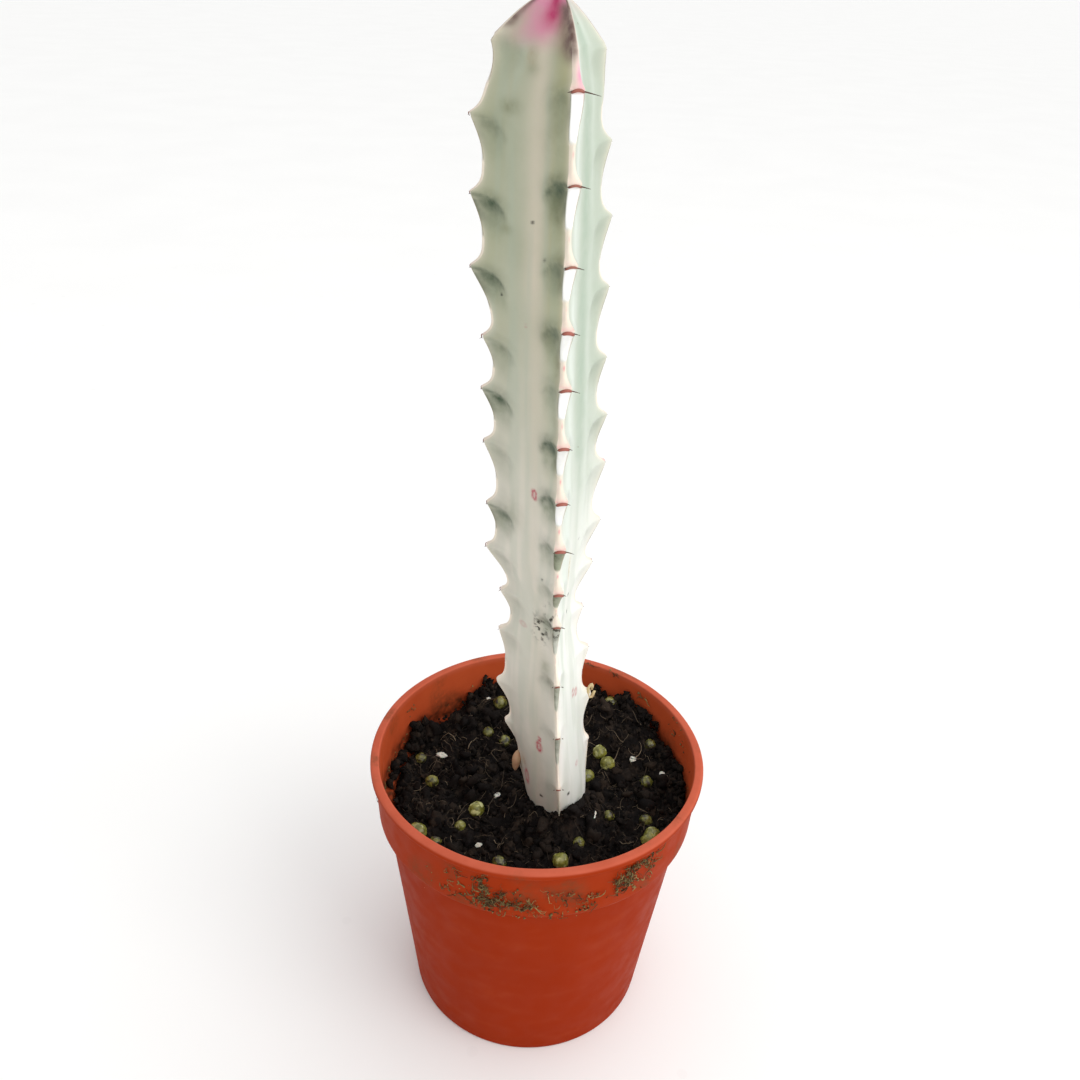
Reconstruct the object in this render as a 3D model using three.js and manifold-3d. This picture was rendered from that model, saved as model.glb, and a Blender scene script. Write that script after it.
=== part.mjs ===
// Potted euphorbia: a rooted cutting of a three-ribbed, ghost-white euphorbia in a
// small round nursery pot, with peat soil, fertiliser prills and perlite bits on top.
// Millimetres, +Z up. The origin is the centre of the pot's underside.

import * as THREE from 'three';
import { mergeVertices } from 'three/addons/utils/BufferGeometryUtils.js';
import Module from 'manifold-3d';

const wasm = await Module();
wasm.setup();

// Pot
const POT_HEIGHT = 50;
const RIM_RADIUS = 27.5;
const BASE_RADIUS = 20.7;
const WALL = 0.9;
const COLLAR_HEIGHT = 10.4;
const COLLAR_STEP = 1.3; // how far the collar stands out of the body below it
const COLLAR_TAPER = 0.6; // how much the collar widens towards the lip
const LIP_PROUD = 0.55;
const LIP_DEPTH = 1.3;
const FLOOR = 1.2;
const FOOT_RING_HEIGHT = 1.2;
const FOOT_RING_WIDTH = 2.4;
const DRAIN_RADIUS = 1.8;
const DRAIN_COUNT = 6;
const DRAIN_INSET = 5.3; // hole centres to the foot ring
const POT_SIDES = 48;

// Soil
const HEADSPACE = 8.5; // rim to soil
const FIT_GAP = 0.3; // clearance between pieces that touch
const SOIL_RINGS = [0.99, 0.92, 0.8, 0.67, 0.54, 0.41, 0.28, 0.14]; // shares of the top's radius
const NECKING = 4; // how far below the collar the soil starts to spread over the ledge
const LEDGE_COVER = { facing: 0.25, from: -0.35, to: 0.25 }; // soil hides the ledge on this side
const LUMP_HEIGHT = 0.22;
const LUMP_SPACING = 7;

// Stem
const STEM_HEIGHT = 121; // from the soil to the growing tip
const ROOTED_DEPTH = 17;
const ROOTED_TAPER = 0.8;
const STEM_X = 3.8;
const STEM_Y = -4.2;
const FOOT_RADIUS = 5; // axis to rib crest, at the soil
const CROWN_RADIUS = 10.1; // axis to rib crest, high on the stem
const FILL_OUT = 0.15; // share of the height over which the ribs fill out
const CROWN_TAPER = { depth: 2.1, from: 0.9, to: 0.96 }; // the ribs draw in towards the tip
const TWIST = 13; // degrees that the ribs turn between the soil and the tip
const LEAN = 7.8;
const LEAN_SPREAD = 0.6;
const WAIST = { depth: 1.5, level: 0.32, spread: 0.07 };
const TOOTH_DEPTH = 1.6;
const MARGIN = { tooth: 0.85, valley: 0.35 }; // half-widths of the rib's edge
const MARGIN_ROUNDING = 0.4;
const VALLEY = 0.38; // the deepest place between two teeth, as a share from the lower one
const FLANK_SHARPNESS = { upper: 3.5, under: 1.7 };
const TEETH_START = 0.2; // level above which the teeth have their full depth
const FOOT_FULLNESS = 0.7; // 1 would make the stem round at the soil
const FULLNESS_FADE = 0.12;
const FACE_HOLLOW = 0.09;
const FACE_POINTS = [0.14, 0.32, 0.5, 0.68, 0.86];
const SHOULDER_LEVEL = 0.955;
const SHOULDER_STEPS = [0.2, 0.4, 0.6, 0.8, 0.93]; // shares of the way from the shoulder to the tip
const SHOULDER_SLOPE = 0.68;
const LEVEL_GRID = 0.0025;
const LONGEST_STEP = 0.0125;
const FOOT_STEPS = 4;
const FOOT_END = 0.75; // the buried end is cut off a little rounded

// The ribs run up the stem 120 degrees apart, from these azimuths at the soil. Each
// tooth is given as its level between the soil (0) and the growing tip (1), and how
// far it stands out of the stem's even outline, or falls short of it. A tooth's upper
// flank is short and nearly flat, and its underside runs long and steep to the next.
const RIBS = [
  {
    azimuth: -84,
    teeth: [
      [0.085, 0], [0.18, 0], [0.26, 0], [0.345, 0], [0.395, 0], [0.455, 0], [0.515, 0],
      [0.58, 0], [0.645, 0], [0.705, 0], [0.77, 0], [0.845, 0], [0.925, 0],
    ],
  },
  {
    azimuth: 36,
    teeth: [
      [0.1, -0.9], [0.175, -0.9], [0.25, -1.2], [0.315, -1.6], [0.375, -0.6], [0.43, 0.1], [0.505, 0.7],
      [0.565, 0.8], [0.635, 0.4], [0.715, 0.5], [0.79, 0.6], [0.865, 0], [0.95, 0.3],
    ],
  },
  {
    azimuth: 156,
    teeth: [
      [0.07, -0.3], [0.13, 0.7], [0.195, 0.7], [0.28, 0.1], [0.34, -0.4], [0.4, 0.4], [0.46, -0.6],
      [0.54, -0.6], [0.605, -0.6], [0.665, -0.9], [0.74, 0.4], [0.815, 0.2], [0.89, 0.1], [0.96, -0.3],
    ],
  },
];

// Mounds and hollows of the soil's surface. Places and spreads, here and below, are
// shares of the soil's radius, so they follow the pot.
const MOUNDS = [
  { x: 0.55, y: 0.75, height: 3.2, spread: 0.25 },
  { x: -0.34, y: 0.82, height: 2.4, spread: 0.19 },
  { x: -0.67, y: 0.59, height: 0.9, spread: 0.15 },
  { x: 0.8, y: 0.52, height: 1.6, spread: 0.17 },
  { x: 0.17, y: -0.33, height: 3.6, spread: 0.15 },
  { x: -0.88, y: 0.04, height: -1.6, spread: 0.34 },
];

// Slow-release fertiliser prills, each resting in the soil's surface.
const PRILLS = [
  { x: 0.8, y: -0.46, radius: 1.5 },
  { x: 0.19, y: -0.71, radius: 1.3 },
  { x: -0.21, y: -0.73, radius: 1.2 },
  { x: -0.78, y: -0.5, radius: 1.5 },
  { x: -0.65, y: -0.57, radius: 1.1 },
  { x: -0.5, y: -0.4, radius: 0.9 },
  { x: -0.4, y: -0.25, radius: 1.3 },
  { x: -0.75, y: 0.04, radius: 1.2 },
  { x: -0.86, y: 0.27, radius: 1 },
  { x: -0.31, y: 0.78, radius: 1.3 },
  { x: 0.46, y: 0.34, radius: 1.3 },
  { x: 0.52, y: 0.23, radius: 1.3 },
  { x: 0.37, y: 0.12, radius: 1.3 },
  { x: 0.55, y: 0.8, radius: 1.2 },
  { x: 0.84, y: 0.42, radius: 1 },
  { x: 0.31, y: -0.55, radius: 1 },
  { x: 0.52, y: -0.25, radius: 1 },
  { x: 0.8, y: 0.1, radius: 1.2 },
  { x: 0.78, y: -0.27, radius: 1.1 },
  { x: -0.25, y: 0.46, radius: 1.1 },
  { x: -0.38, y: 0.52, radius: 1 },
];

const PERLITE = [
  { x: -0.71, y: 0.31, radius: 0.9 },
  { x: 0.4, y: -0.31, radius: 1 },
  { x: -0.27, y: -0.1, radius: 0.7 },
  { x: 0.71, y: 0.29, radius: 0.8 },
  { x: 0.92, y: 0.19, radius: 0.7 },
  { x: -0.4, y: 0.84, radius: 0.6 },
  { x: 0.1, y: -0.82, radius: 0.6 },
  { x: -0.36, y: -0.57, radius: 0.6 },
];

const COLLAR_BOTTOM = POT_HEIGHT - COLLAR_HEIGHT;
const LEDGE_TOP = COLLAR_BOTTOM + WALL;
const COLLAR_TOP_RADIUS = RIM_RADIUS - LIP_PROUD;
const COLLAR_BOTTOM_RADIUS = COLLAR_TOP_RADIUS - COLLAR_TAPER;
const BODY_TOP_RADIUS = COLLAR_BOTTOM_RADIUS - COLLAR_STEP;
const SOIL_LEVEL = POT_HEIGHT - HEADSPACE;
const SOIL_NECK = BODY_TOP_RADIUS - WALL - FIT_GAP; // soil radius where the body meets the collar

const { lerp, mapLinear, smoothstep, degToRad } = THREE.MathUtils;
const bodyRadius = (z) => mapLinear(z, 0, COLLAR_BOTTOM, BASE_RADIUS, BODY_TOP_RADIUS);
const collarRadius = (z) => mapLinear(z, COLLAR_BOTTOM, POT_HEIGHT, COLLAR_BOTTOM_RADIUS, COLLAR_TOP_RADIUS);

// A solid for booleans, from any closed geometry.
function toSolid(geometry) {
  const bare = geometry.clone();
  bare.deleteAttribute('normal');
  bare.deleteAttribute('uv');
  const merged = mergeVertices(bare, 1e-4);
  const corners = merged.index.array;
  const triVerts = [];
  for (let i = 0; i < corners.length; i += 3) {
    const [a, b, c] = corners.slice(i, i + 3);
    if (a !== b && b !== c && c !== a) triVerts.push(a, b, c);
  }
  const vertProperties = new Float32Array(merged.attributes.position.array);
  return new wasm.Manifold(new wasm.Mesh({ numProp: 3, vertProperties, triVerts: new Uint32Array(triVerts) }));
}

function toGeometry(solid) {
  const mesh = solid.getMesh();
  const geometry = new THREE.BufferGeometry();
  geometry.setAttribute('position', new THREE.BufferAttribute(mesh.vertProperties, 3));
  geometry.setIndex(new THREE.BufferAttribute(mesh.triVerts, 1));
  geometry.computeVertexNormals();
  return geometry;
}

// A closed skin over rings of points that run anticlockwise seen from above. The
// first and last rings are closed by a fan to their middle.
function loft(rings) {
  const sides = rings[0].length;
  const points = rings.flat();
  const triangles = [];
  for (let ring = 0; ring < rings.length - 1; ring += 1) {
    for (let side = 0; side < sides; side += 1) {
      const a = ring * sides + side;
      const b = ring * sides + ((side + 1) % sides);
      triangles.push(a, b, b + sides, a, b + sides, a + sides);
    }
  }
  const middle = (ring) => ring.reduce((sum, p) => sum.add(p), new THREE.Vector3()).divideScalar(sides);
  const first = points.push(middle(rings[0])) - 1;
  const last = points.push(middle(rings[rings.length - 1])) - 1;
  const top = (rings.length - 1) * sides;
  for (let side = 0; side < sides; side += 1) {
    const next = (side + 1) % sides;
    triangles.push(first, next, side, last, top + side, top + next);
  }
  const geometry = new THREE.BufferGeometry().setFromPoints(points);
  geometry.setIndex(triangles);
  geometry.computeVertexNormals();
  return geometry;
}

// Thin thermoformed pot: tapered body, stepped collar, rolled lip, raised floor.
function potGeometry() {
  const inner = (radius) => radius - WALL;
  const lipBottom = POT_HEIGHT - LIP_DEPTH;
  const floorTop = FOOT_RING_HEIGHT + FLOOR;
  const footInner = BASE_RADIUS - FOOT_RING_WIDTH;
  const lip = [0, 30, 60, 90].map((degrees) => {
    const turn = degToRad(degrees);
    const half = LIP_DEPTH / 2;
    return [RIM_RADIUS - half + half * Math.cos(turn), POT_HEIGHT - half + half * Math.sin(turn)];
  });
  const profile = [
    [0, FOOT_RING_HEIGHT],
    [footInner - 0.6, FOOT_RING_HEIGHT],
    [footInner, 0],
    [BASE_RADIUS - 0.5, 0],
    [bodyRadius(0.6), 0.6],
    [bodyRadius(COLLAR_BOTTOM), COLLAR_BOTTOM],
    [collarRadius(COLLAR_BOTTOM) - 0.3, COLLAR_BOTTOM],
    [collarRadius(COLLAR_BOTTOM + 0.3), COLLAR_BOTTOM + 0.3],
    [collarRadius(lipBottom), lipBottom],
    [RIM_RADIUS - 0.15, lipBottom + 0.25],
    ...lip,
    [inner(collarRadius(POT_HEIGHT)), POT_HEIGHT - 0.4],
    [inner(collarRadius(LEDGE_TOP)), LEDGE_TOP],
    [inner(bodyRadius(LEDGE_TOP)), LEDGE_TOP],
    [inner(bodyRadius(floorTop + 1)), floorTop + 1],
    [inner(bodyRadius(floorTop)) - 1, floorTop],
    [0, floorTop],
  ];
  const shell = new THREE.LatheGeometry(profile.map(([r, z]) => new THREE.Vector2(r, z)), POT_SIDES);
  shell.rotateX(Math.PI / 2);
  let pot = toSolid(shell);
  const circle = footInner - DRAIN_INSET;
  for (let hole = 0; hole < DRAIN_COUNT; hole += 1) {
    const turn = ((hole + 0.5) / DRAIN_COUNT) * 2 * Math.PI;
    const drill = new THREE.CylinderGeometry(DRAIN_RADIUS, DRAIN_RADIUS, 4 * FLOOR, 16);
    drill.rotateX(Math.PI / 2);
    drill.translate(circle * Math.cos(turn), circle * Math.sin(turn), FOOT_RING_HEIGHT + FLOOR / 2);
    pot = pot.subtract(toSolid(drill));
  }
  return toGeometry(pot);
}

// How high the soil stands at a place, with its mounds, hollows and small lumps.
function soilHeight(x, y) {
  const mounds = MOUNDS.reduce((sum, mound) => {
    const away = Math.hypot(x / SOIL_NECK - mound.x, y / SOIL_NECK - mound.y) / mound.spread;
    return sum + mound.height * Math.exp(-(away ** 2) / 2);
  }, 0);
  const pitch = (2 * Math.PI) / LUMP_SPACING;
  const lumps = LUMP_HEIGHT * (Math.sin(pitch * x) * Math.sin(pitch * y) + Math.sin(pitch * (x - y)));
  return SOIL_LEVEL + mounds + lumps;
}

// The soil fills the body and spreads over the inner ledge on the right-hand side.
function soilGeometry() {
  const narrow = (z) => bodyRadius(z) - WALL - FIT_GAP;
  const wide = collarRadius(LEDGE_TOP) - WALL - FIT_GAP;
  const necking = COLLAR_BOTTOM - NECKING;
  const shelf = LEDGE_TOP + FIT_GAP;
  const floorTop = FOOT_RING_HEIGHT + FLOOR + FIT_GAP;
  const ring = (place) =>
    Array.from({ length: POT_SIDES }, (_, side) => {
      const turn = (side / POT_SIDES) * 2 * Math.PI;
      const { radius, z } = place(turn);
      const x = radius * Math.cos(turn);
      const y = radius * Math.sin(turn);
      return new THREE.Vector3(x, y, z ?? soilHeight(x, y));
    });
  const spread = (turn) => smoothstep(
    Math.cos(turn - LEDGE_COVER.facing), LEDGE_COVER.from, LEDGE_COVER.to);
  const top = (turn) => lerp(SOIL_NECK, wide, spread(turn));
  const rings = [
    ring(() => ({ radius: narrow(floorTop) - 1.1, z: floorTop })),
    ring(() => ({ radius: narrow(floorTop + 1.2), z: floorTop + 1.2 })),
    ring(() => ({ radius: narrow(necking), z: necking })),
    ring((turn) => ({ radius: top(turn), z: necking + 1 })),
    ...SOIL_RINGS.map((share) => ring((turn) => ({ radius: top(turn) * share }))),
  ];
  const ledgeRoom = new THREE.LatheGeometry(
    [[narrow(necking), necking], [wide + 1, necking], [wide + 1, shelf], [narrow(shelf), shelf],
      [narrow(necking), necking]].map(([r, z]) => new THREE.Vector2(r, z)), POT_SIDES);
  ledgeRoom.rotateX(Math.PI / 2);
  let soil = toSolid(loft(rings)).subtract(toSolid(ledgeRoom));
  soil = soil.subtract(toSolid(loft(stemRings(FIT_GAP))));
  for (const grain of [...PRILLS.map(prillShape), ...PERLITE.map(perliteShape)]) {
    soil = soil.subtract(toSolid(grain(FIT_GAP)));
  }
  return toGeometry(soil);
}

// The stem's even outline: axis to rib crest at a level, before the teeth are cut in.
function ribRadius(level) {
  const filled = CROWN_RADIUS - (CROWN_RADIUS - FOOT_RADIUS) * Math.exp(-level / FILL_OUT);
  const waist = WAIST.depth * Math.exp(-(((level - WAIST.level) / WAIST.spread) ** 2));
  return filled - waist - CROWN_TAPER.depth * smoothstep(level, CROWN_TAPER.from, CROWN_TAPER.to);
}

// The rib between two teeth: how deep its scallop is (0 at a tooth, 1 in the valley),
// how wide its margin is (1 at a tooth, 0 in the valley) and how far it stands out.
function betweenTeeth(teeth, level) {
  const above = teeth.findIndex(([tooth]) => tooth >= level);
  if (above < 1) return { depth: 0, width: 0.5, stand: teeth.at(above)[1] };
  const [[lower, lowerStand], [upper, upperStand]] = [teeth[above - 1], teeth[above]];
  const share = (level - lower) / (upper - lower);
  const onUpper = share < VALLEY;
  const closeness = onUpper ? 1 - share / VALLEY : 1 - (1 - share) / (1 - VALLEY);
  const sharpness = onUpper ? FLANK_SHARPNESS.upper : FLANK_SHARPNESS.under;
  return { depth: 1 - closeness ** sharpness, width: closeness, stand: lerp(lowerStand, upperStand, share) };
}

// One cross-section of the stem: three narrow rib margins joined by three faces,
// which are full near the soil and slightly hollow above.
function stemSection({ level, z, scale = 1 }, grow) {
  const lean = LEAN * (Math.exp(-Math.max(level, 0) / LEAN_SPREAD) - 1);
  const axis = new THREE.Vector3(STEM_X + lean, STEM_Y, z);
  const crest = ribRadius(Math.max(level, 0)) * scale + grow;
  const depth = TOOTH_DEPTH * scale * smoothstep(level, 0, TEETH_START);
  const ribs = RIBS.map(({ azimuth, teeth }) => {
    const turn = degToRad(azimuth + TWIST * Math.max(level, 0));
    const out = new THREE.Vector3(Math.cos(turn), Math.sin(turn), 0);
    const side = new THREE.Vector3(-out.y, out.x, 0);
    const tooth = betweenTeeth(teeth, level);
    const margin = lerp(MARGIN.valley, MARGIN.tooth, tooth.width) * scale;
    const valley = crest - depth + tooth.stand * depth / TOOTH_DEPTH;
    return { out, side, margin, valley, reach: valley + depth * (1 - tooth.depth) };
  });
  const fullness = FOOT_FULLNESS * Math.exp(-Math.max(level, 0) / FULLNESS_FADE) - FACE_HOLLOW;
  const at = (rib, reach, shift) =>
    axis.clone().addScaledVector(rib.out, reach).addScaledVector(rib.side, shift);
  return ribs.flatMap((rib, index) => {
    const next = ribs[(index + 1) % ribs.length];
    const from = at(rib, rib.valley, rib.margin);
    const to = at(next, next.valley, -next.margin);
    const outward = rib.out.clone().add(next.out).normalize();
    const face = FACE_POINTS.map((share) => {
      const bulge = fullness * crest * 0.5 * (1 - (2 * share - 1) ** 2);
      return from.clone().lerp(to, share).addScaledVector(outward, bulge);
    });
    const shoulder = rib.reach - MARGIN_ROUNDING * scale;
    return [at(rib, shoulder, -rib.margin), at(rib, rib.reach, 0), at(rib, shoulder, rib.margin), ...face];
  });
}

// The levels of the cross-sections above the soil: one at every tooth and every
// valley, and more in between, so that the teeth come out crisp.
function shownLevels() {
  const stops = new Set([SHOULDER_LEVEL]);
  for (const { teeth } of RIBS) {
    teeth.forEach(([level], index) => {
      const next = teeth[index + 1]?.[0] ?? level;
      for (const stop of [level, lerp(level, next, VALLEY)]) {
        if (stop < SHOULDER_LEVEL) stops.add(Math.round(stop / LEVEL_GRID) * LEVEL_GRID);
      }
    });
  }
  const levels = [];
  let last = 0;
  for (const stop of [...stops].sort((a, b) => a - b)) {
    const steps = Math.max(1, Math.ceil((stop - last) / LONGEST_STEP - 1e-6));
    for (let step = 1; step <= steps; step += 1) levels.push(lerp(last, stop, step / steps));
    last = stop;
  }
  return levels;
}

function stemRings(grow) {
  const places = [];
  for (let step = 0; step <= FOOT_STEPS; step += 1) {
    const share = step / FOOT_STEPS;
    const rounded = step === 0 ? FOOT_END : 1;
    places.push({
      level: share - 1,
      z: SOIL_LEVEL - (ROOTED_DEPTH + grow) * (1 - share),
      scale: lerp(ROOTED_TAPER, 1, share) * rounded,
    });
  }
  for (const level of shownLevels()) {
    places.push({ level, z: SOIL_LEVEL + level * STEM_HEIGHT });
  }
  for (const step of SHOULDER_STEPS) {
    const level = lerp(SHOULDER_LEVEL, 1, step);
    places.push({ level, z: SOIL_LEVEL + level * STEM_HEIGHT, scale: (1 - step) ** SHOULDER_SLOPE });
  }
  return places.map((place) => stemSection(place, grow));
}

const placed = ({ x, y, radius }) => ({ x: x * SOIL_NECK, y: y * SOIL_NECK, radius });

// A round prill and a chipped perlite bit: each returns its shape, grown by a gap.
function prillShape(grain) {
  const { x, y, radius } = placed(grain);
  const z = soilHeight(x, y) + 0.35 * radius;
  return (gap) => new THREE.IcosahedronGeometry(radius + gap, 1).translate(x, y, z);
}

function perliteShape(grain) {
  const { x, y, radius } = placed(grain);
  const z = soilHeight(x, y) + 0.25 * radius;
  return (gap) => {
    const chip = new THREE.IcosahedronGeometry(1, 0);
    chip.scale(1.25 * radius + 1.3 * gap, radius + 1.3 * gap, 0.8 * radius + 1.3 * gap);
    chip.rotateZ(x + y);
    return chip.translate(x, y, z);
  };
}

const finish = (color, roughness) => new THREE.MeshStandardMaterial({ color, roughness, metalness: 0 });

const plant = new THREE.Group();
function add(name, geometry, material) {
  const mesh = new THREE.Mesh(geometry, material);
  mesh.name = name;
  plant.add(mesh);
}

add('pot', potGeometry(), finish(0xa84a2c, 0.5));
add('soil', soilGeometry(), finish(0x17120f, 0.95));
add('stem', loft(stemRings(0)), finish(0xc3c6b0, 0.55));
const numbered = (name, index) => `${name}_${String(index + 1).padStart(2, '0')}`;
PRILLS.forEach((grain, index) => add(numbered('prill', index), prillShape(grain)(0), finish(0x8b8f38, 0.4)));
PERLITE.forEach((grain, index) => add(numbered('perlite', index), perliteShape(grain)(0), finish(0xe6e6da, 0.9)));

export default plant;
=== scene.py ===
"""Potted ghost-white euphorbia: the visual model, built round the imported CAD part.

Shapes are worked out in millimetres in the part's frame (+Z up, the origin under the
middle of the pot) and turned into metres as each mesh is made.
"""

import logging
import math
from dataclasses import dataclass, field
from enum import Enum
from typing import Iterable, Sequence, Union

import bmesh
import bpy
import numpy as np
from mathutils import Matrix, Vector, noise


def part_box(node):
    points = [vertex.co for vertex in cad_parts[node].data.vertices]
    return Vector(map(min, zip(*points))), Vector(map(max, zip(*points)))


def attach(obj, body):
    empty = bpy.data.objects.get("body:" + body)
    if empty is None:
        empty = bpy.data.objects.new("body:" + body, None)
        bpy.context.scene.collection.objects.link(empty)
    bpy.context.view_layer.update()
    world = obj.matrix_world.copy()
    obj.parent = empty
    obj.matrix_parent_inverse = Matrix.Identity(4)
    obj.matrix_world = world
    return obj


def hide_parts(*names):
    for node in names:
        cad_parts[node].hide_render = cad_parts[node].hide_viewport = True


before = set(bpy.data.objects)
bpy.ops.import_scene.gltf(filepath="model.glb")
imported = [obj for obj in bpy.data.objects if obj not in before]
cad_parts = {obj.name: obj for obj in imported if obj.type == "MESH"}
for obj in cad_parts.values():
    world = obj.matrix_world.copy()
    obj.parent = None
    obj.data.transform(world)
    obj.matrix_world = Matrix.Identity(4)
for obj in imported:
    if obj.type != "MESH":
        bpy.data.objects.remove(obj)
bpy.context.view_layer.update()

log = logging.getLogger("euphorbia")

MM = 0.001
BODY = "root"
UP = np.array([0.0, 0.0, 1.0])
Colour = tuple[float, float, float, float]
Socket = bpy.types.NodeSocket
Value = Union[float, int, tuple, Socket]


class Slot(Enum):
    """The record's material slots."""

    POT = "terracotta_plastic"
    SOIL = "peat_soil"
    STEM = "stem_skin"
    PRILL = "fertiliser_prill"
    PERLITE = "perlite"


# ---------------------------------------------------------------- small tools


def tint(red: int, green: int, blue: int) -> Colour:
    """Linear colour from everyday 0 to 255 values.

    Args:
        red: Red, 0 to 255.
        green: Green, 0 to 255.
        blue: Blue, 0 to 255.

    Returns:
        The colour in the linear space that the shaders work in.
    """

    def linear(value: float) -> float:
        """One channel, from display to linear."""
        share = value / 255
        return share / 12.92 if share <= 0.04045 else ((share + 0.055) / 1.055) ** 2.4

    return (linear(red), linear(green), linear(blue), 1.0)


def smooth(values: np.ndarray, low: float, high: float) -> np.ndarray:
    """Smoothstep of values between low and high."""
    share = np.clip((values - low) / (high - low), 0, 1)
    return share * share * (3 - 2 * share)


def hump(values: np.ndarray, centre: float, spread: float) -> np.ndarray:
    """A bell that is 1 at the centre."""
    return np.exp(-(((values - centre) / spread) ** 2))


def wander(points: np.ndarray, size: float, seed: float, octaves: int = 3) -> np.ndarray:
    """Smooth noise at each point.

    Args:
        points: Places, n by 3, in millimetres.
        size: Width of the largest features, in millimetres.
        seed: Shifts the pattern.
        octaves: How many finer layers it has.

    Returns:
        About -1 to 1 at each point.
    """
    shifted = points / size + (seed, 1.7 * seed, -0.6 * seed)
    return np.array([noise.fractal(p, 1.0, 2.0, octaves) for p in shifted.tolist()])


@dataclass
class Skin:
    """Points and faces of one mesh while it is worked out.

    Attributes:
        points: n by 3, in millimetres.
        faces: Corner numbers of each face.
        marks: Named values for each point, which the material reads.
    """

    points: np.ndarray
    faces: list[tuple[int, ...]]
    marks: dict[str, np.ndarray] = field(default_factory=dict)

    def to_object(self, name: str, material: bpy.types.Material) -> bpy.types.Object:
        """Makes the object.

        Args:
            name: The piece's name.
            material: Its finish.

        Returns:
            The new object, smooth-shaded, in the scene.
        """
        mesh = bpy.data.meshes.new(name)
        mesh.from_pydata((self.points * MM).tolist(), [], self.faces)
        for label, values in self.marks.items():
            layer = mesh.attributes.new(label, "FLOAT", "POINT")
            layer.data.foreach_set("value", np.asarray(values, np.float32))
        mesh.shade_smooth()
        mesh.materials.append(material)
        mesh.update()
        piece = bpy.data.objects.new(name, mesh)
        bpy.context.scene.collection.objects.link(piece)
        return piece


def lofted(rings: np.ndarray, marks: dict[str, np.ndarray] | None = None) -> Skin:
    """A closed skin over rings of points, with a fan at each end.

    Args:
        rings: ring count by points by 3, anticlockwise seen from the last ring's end.
        marks: Named values for each ring and point.

    Returns:
        The skin.
    """
    count, sides, _ = rings.shape
    index = np.arange(count * sides).reshape(count, sides)
    a, d = index[:-1], index[1:]
    b, c = np.roll(a, -1, axis=1), np.roll(d, -1, axis=1)
    quads = np.stack([a, b, c, d], axis=-1).reshape(-1, 4)
    first, last = count * sides, count * sides + 1
    foot = [(first, int(q), int(p)) for p, q in zip(index[0], np.roll(index[0], -1))]
    head = [(last, int(p), int(q)) for p, q in zip(index[-1], np.roll(index[-1], -1))]
    points = np.concatenate([rings.reshape(-1, 3), [rings[0].mean(0), rings[-1].mean(0)]])
    kept = {
        label: np.concatenate([values.ravel(), [values[0].mean(), values[-1].mean()]])
        for label, values in (marks or {}).items()
    }
    return Skin(points, [tuple(q) for q in quads.tolist()] + foot + head, kept)


def joined(skins: Iterable[Skin]) -> Skin:
    """Several skins with the same marks as one."""
    skins = list(skins)
    faces: list[tuple[int, ...]] = []
    start = 0
    for skin in skins:
        faces += [tuple(corner + start for corner in face) for face in skin.faces]
        start += len(skin.points)
    marks = {k: np.concatenate([s.marks[k] for s in skins]) for k in skins[0].marks}
    return Skin(np.concatenate([s.points for s in skins]), faces, marks)


def tube(path: np.ndarray, radii: Sequence[float], sides: int, tone: np.ndarray) -> Skin:
    """A tube along a path, closed at both ends.

    Args:
        path: Points that it follows.
        radii: Its radius at each point.
        sides: Sides of its cross-section.
        tone: A mark for each point of the path.

    Returns:
        The skin, with a "tone" mark.
    """
    along = np.gradient(path, axis=0)
    along /= np.linalg.norm(along, axis=1, keepdims=True)
    guide = UP
    if abs(along[:, 2]).mean() > 0.8:
        guide = np.array([1.0, 0.0, 0.0])
    side = np.cross(along, guide)
    side /= np.linalg.norm(side, axis=1, keepdims=True)
    up = np.cross(side, along)
    turn = np.arange(sides) / sides * 2 * math.pi
    wide = np.asarray(radii)[:, None, None]
    around = side[:, None] * np.cos(turn)[:, None] + up[:, None] * np.sin(turn)[:, None]
    rings = path[:, None] + around * wide
    return lofted(rings, {"tone": np.repeat(tone[:, None], sides, axis=1)})


def ball(detail: int) -> Skin:
    """A unit icosphere to be reshaped into a grain or a clod."""
    shape = bmesh.new()
    bmesh.ops.create_icosphere(shape, subdivisions=detail, radius=1.0)
    points = np.array([v.co for v in shape.verts])
    faces = [tuple(v.index for v in f.verts) for f in shape.faces]
    shape.free()
    return Skin(points, faces)


def turned(rng: np.random.Generator) -> np.ndarray:
    """A random rotation matrix."""
    square, _ = np.linalg.qr(rng.normal(size=(3, 3)))
    return square * np.sign(np.linalg.det(square))


def seat(piece: bpy.types.Object, slot: Slot, *nodes: str) -> None:
    """Puts a piece on the part's body and hides the CAD nodes that it stands for."""
    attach(piece, BODY)
    if nodes:
        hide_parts(*nodes)
    log.info("%s: %d points", piece.name, len(piece.data.vertices))


# ---------------------------------------------------------------- shader nodes


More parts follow.
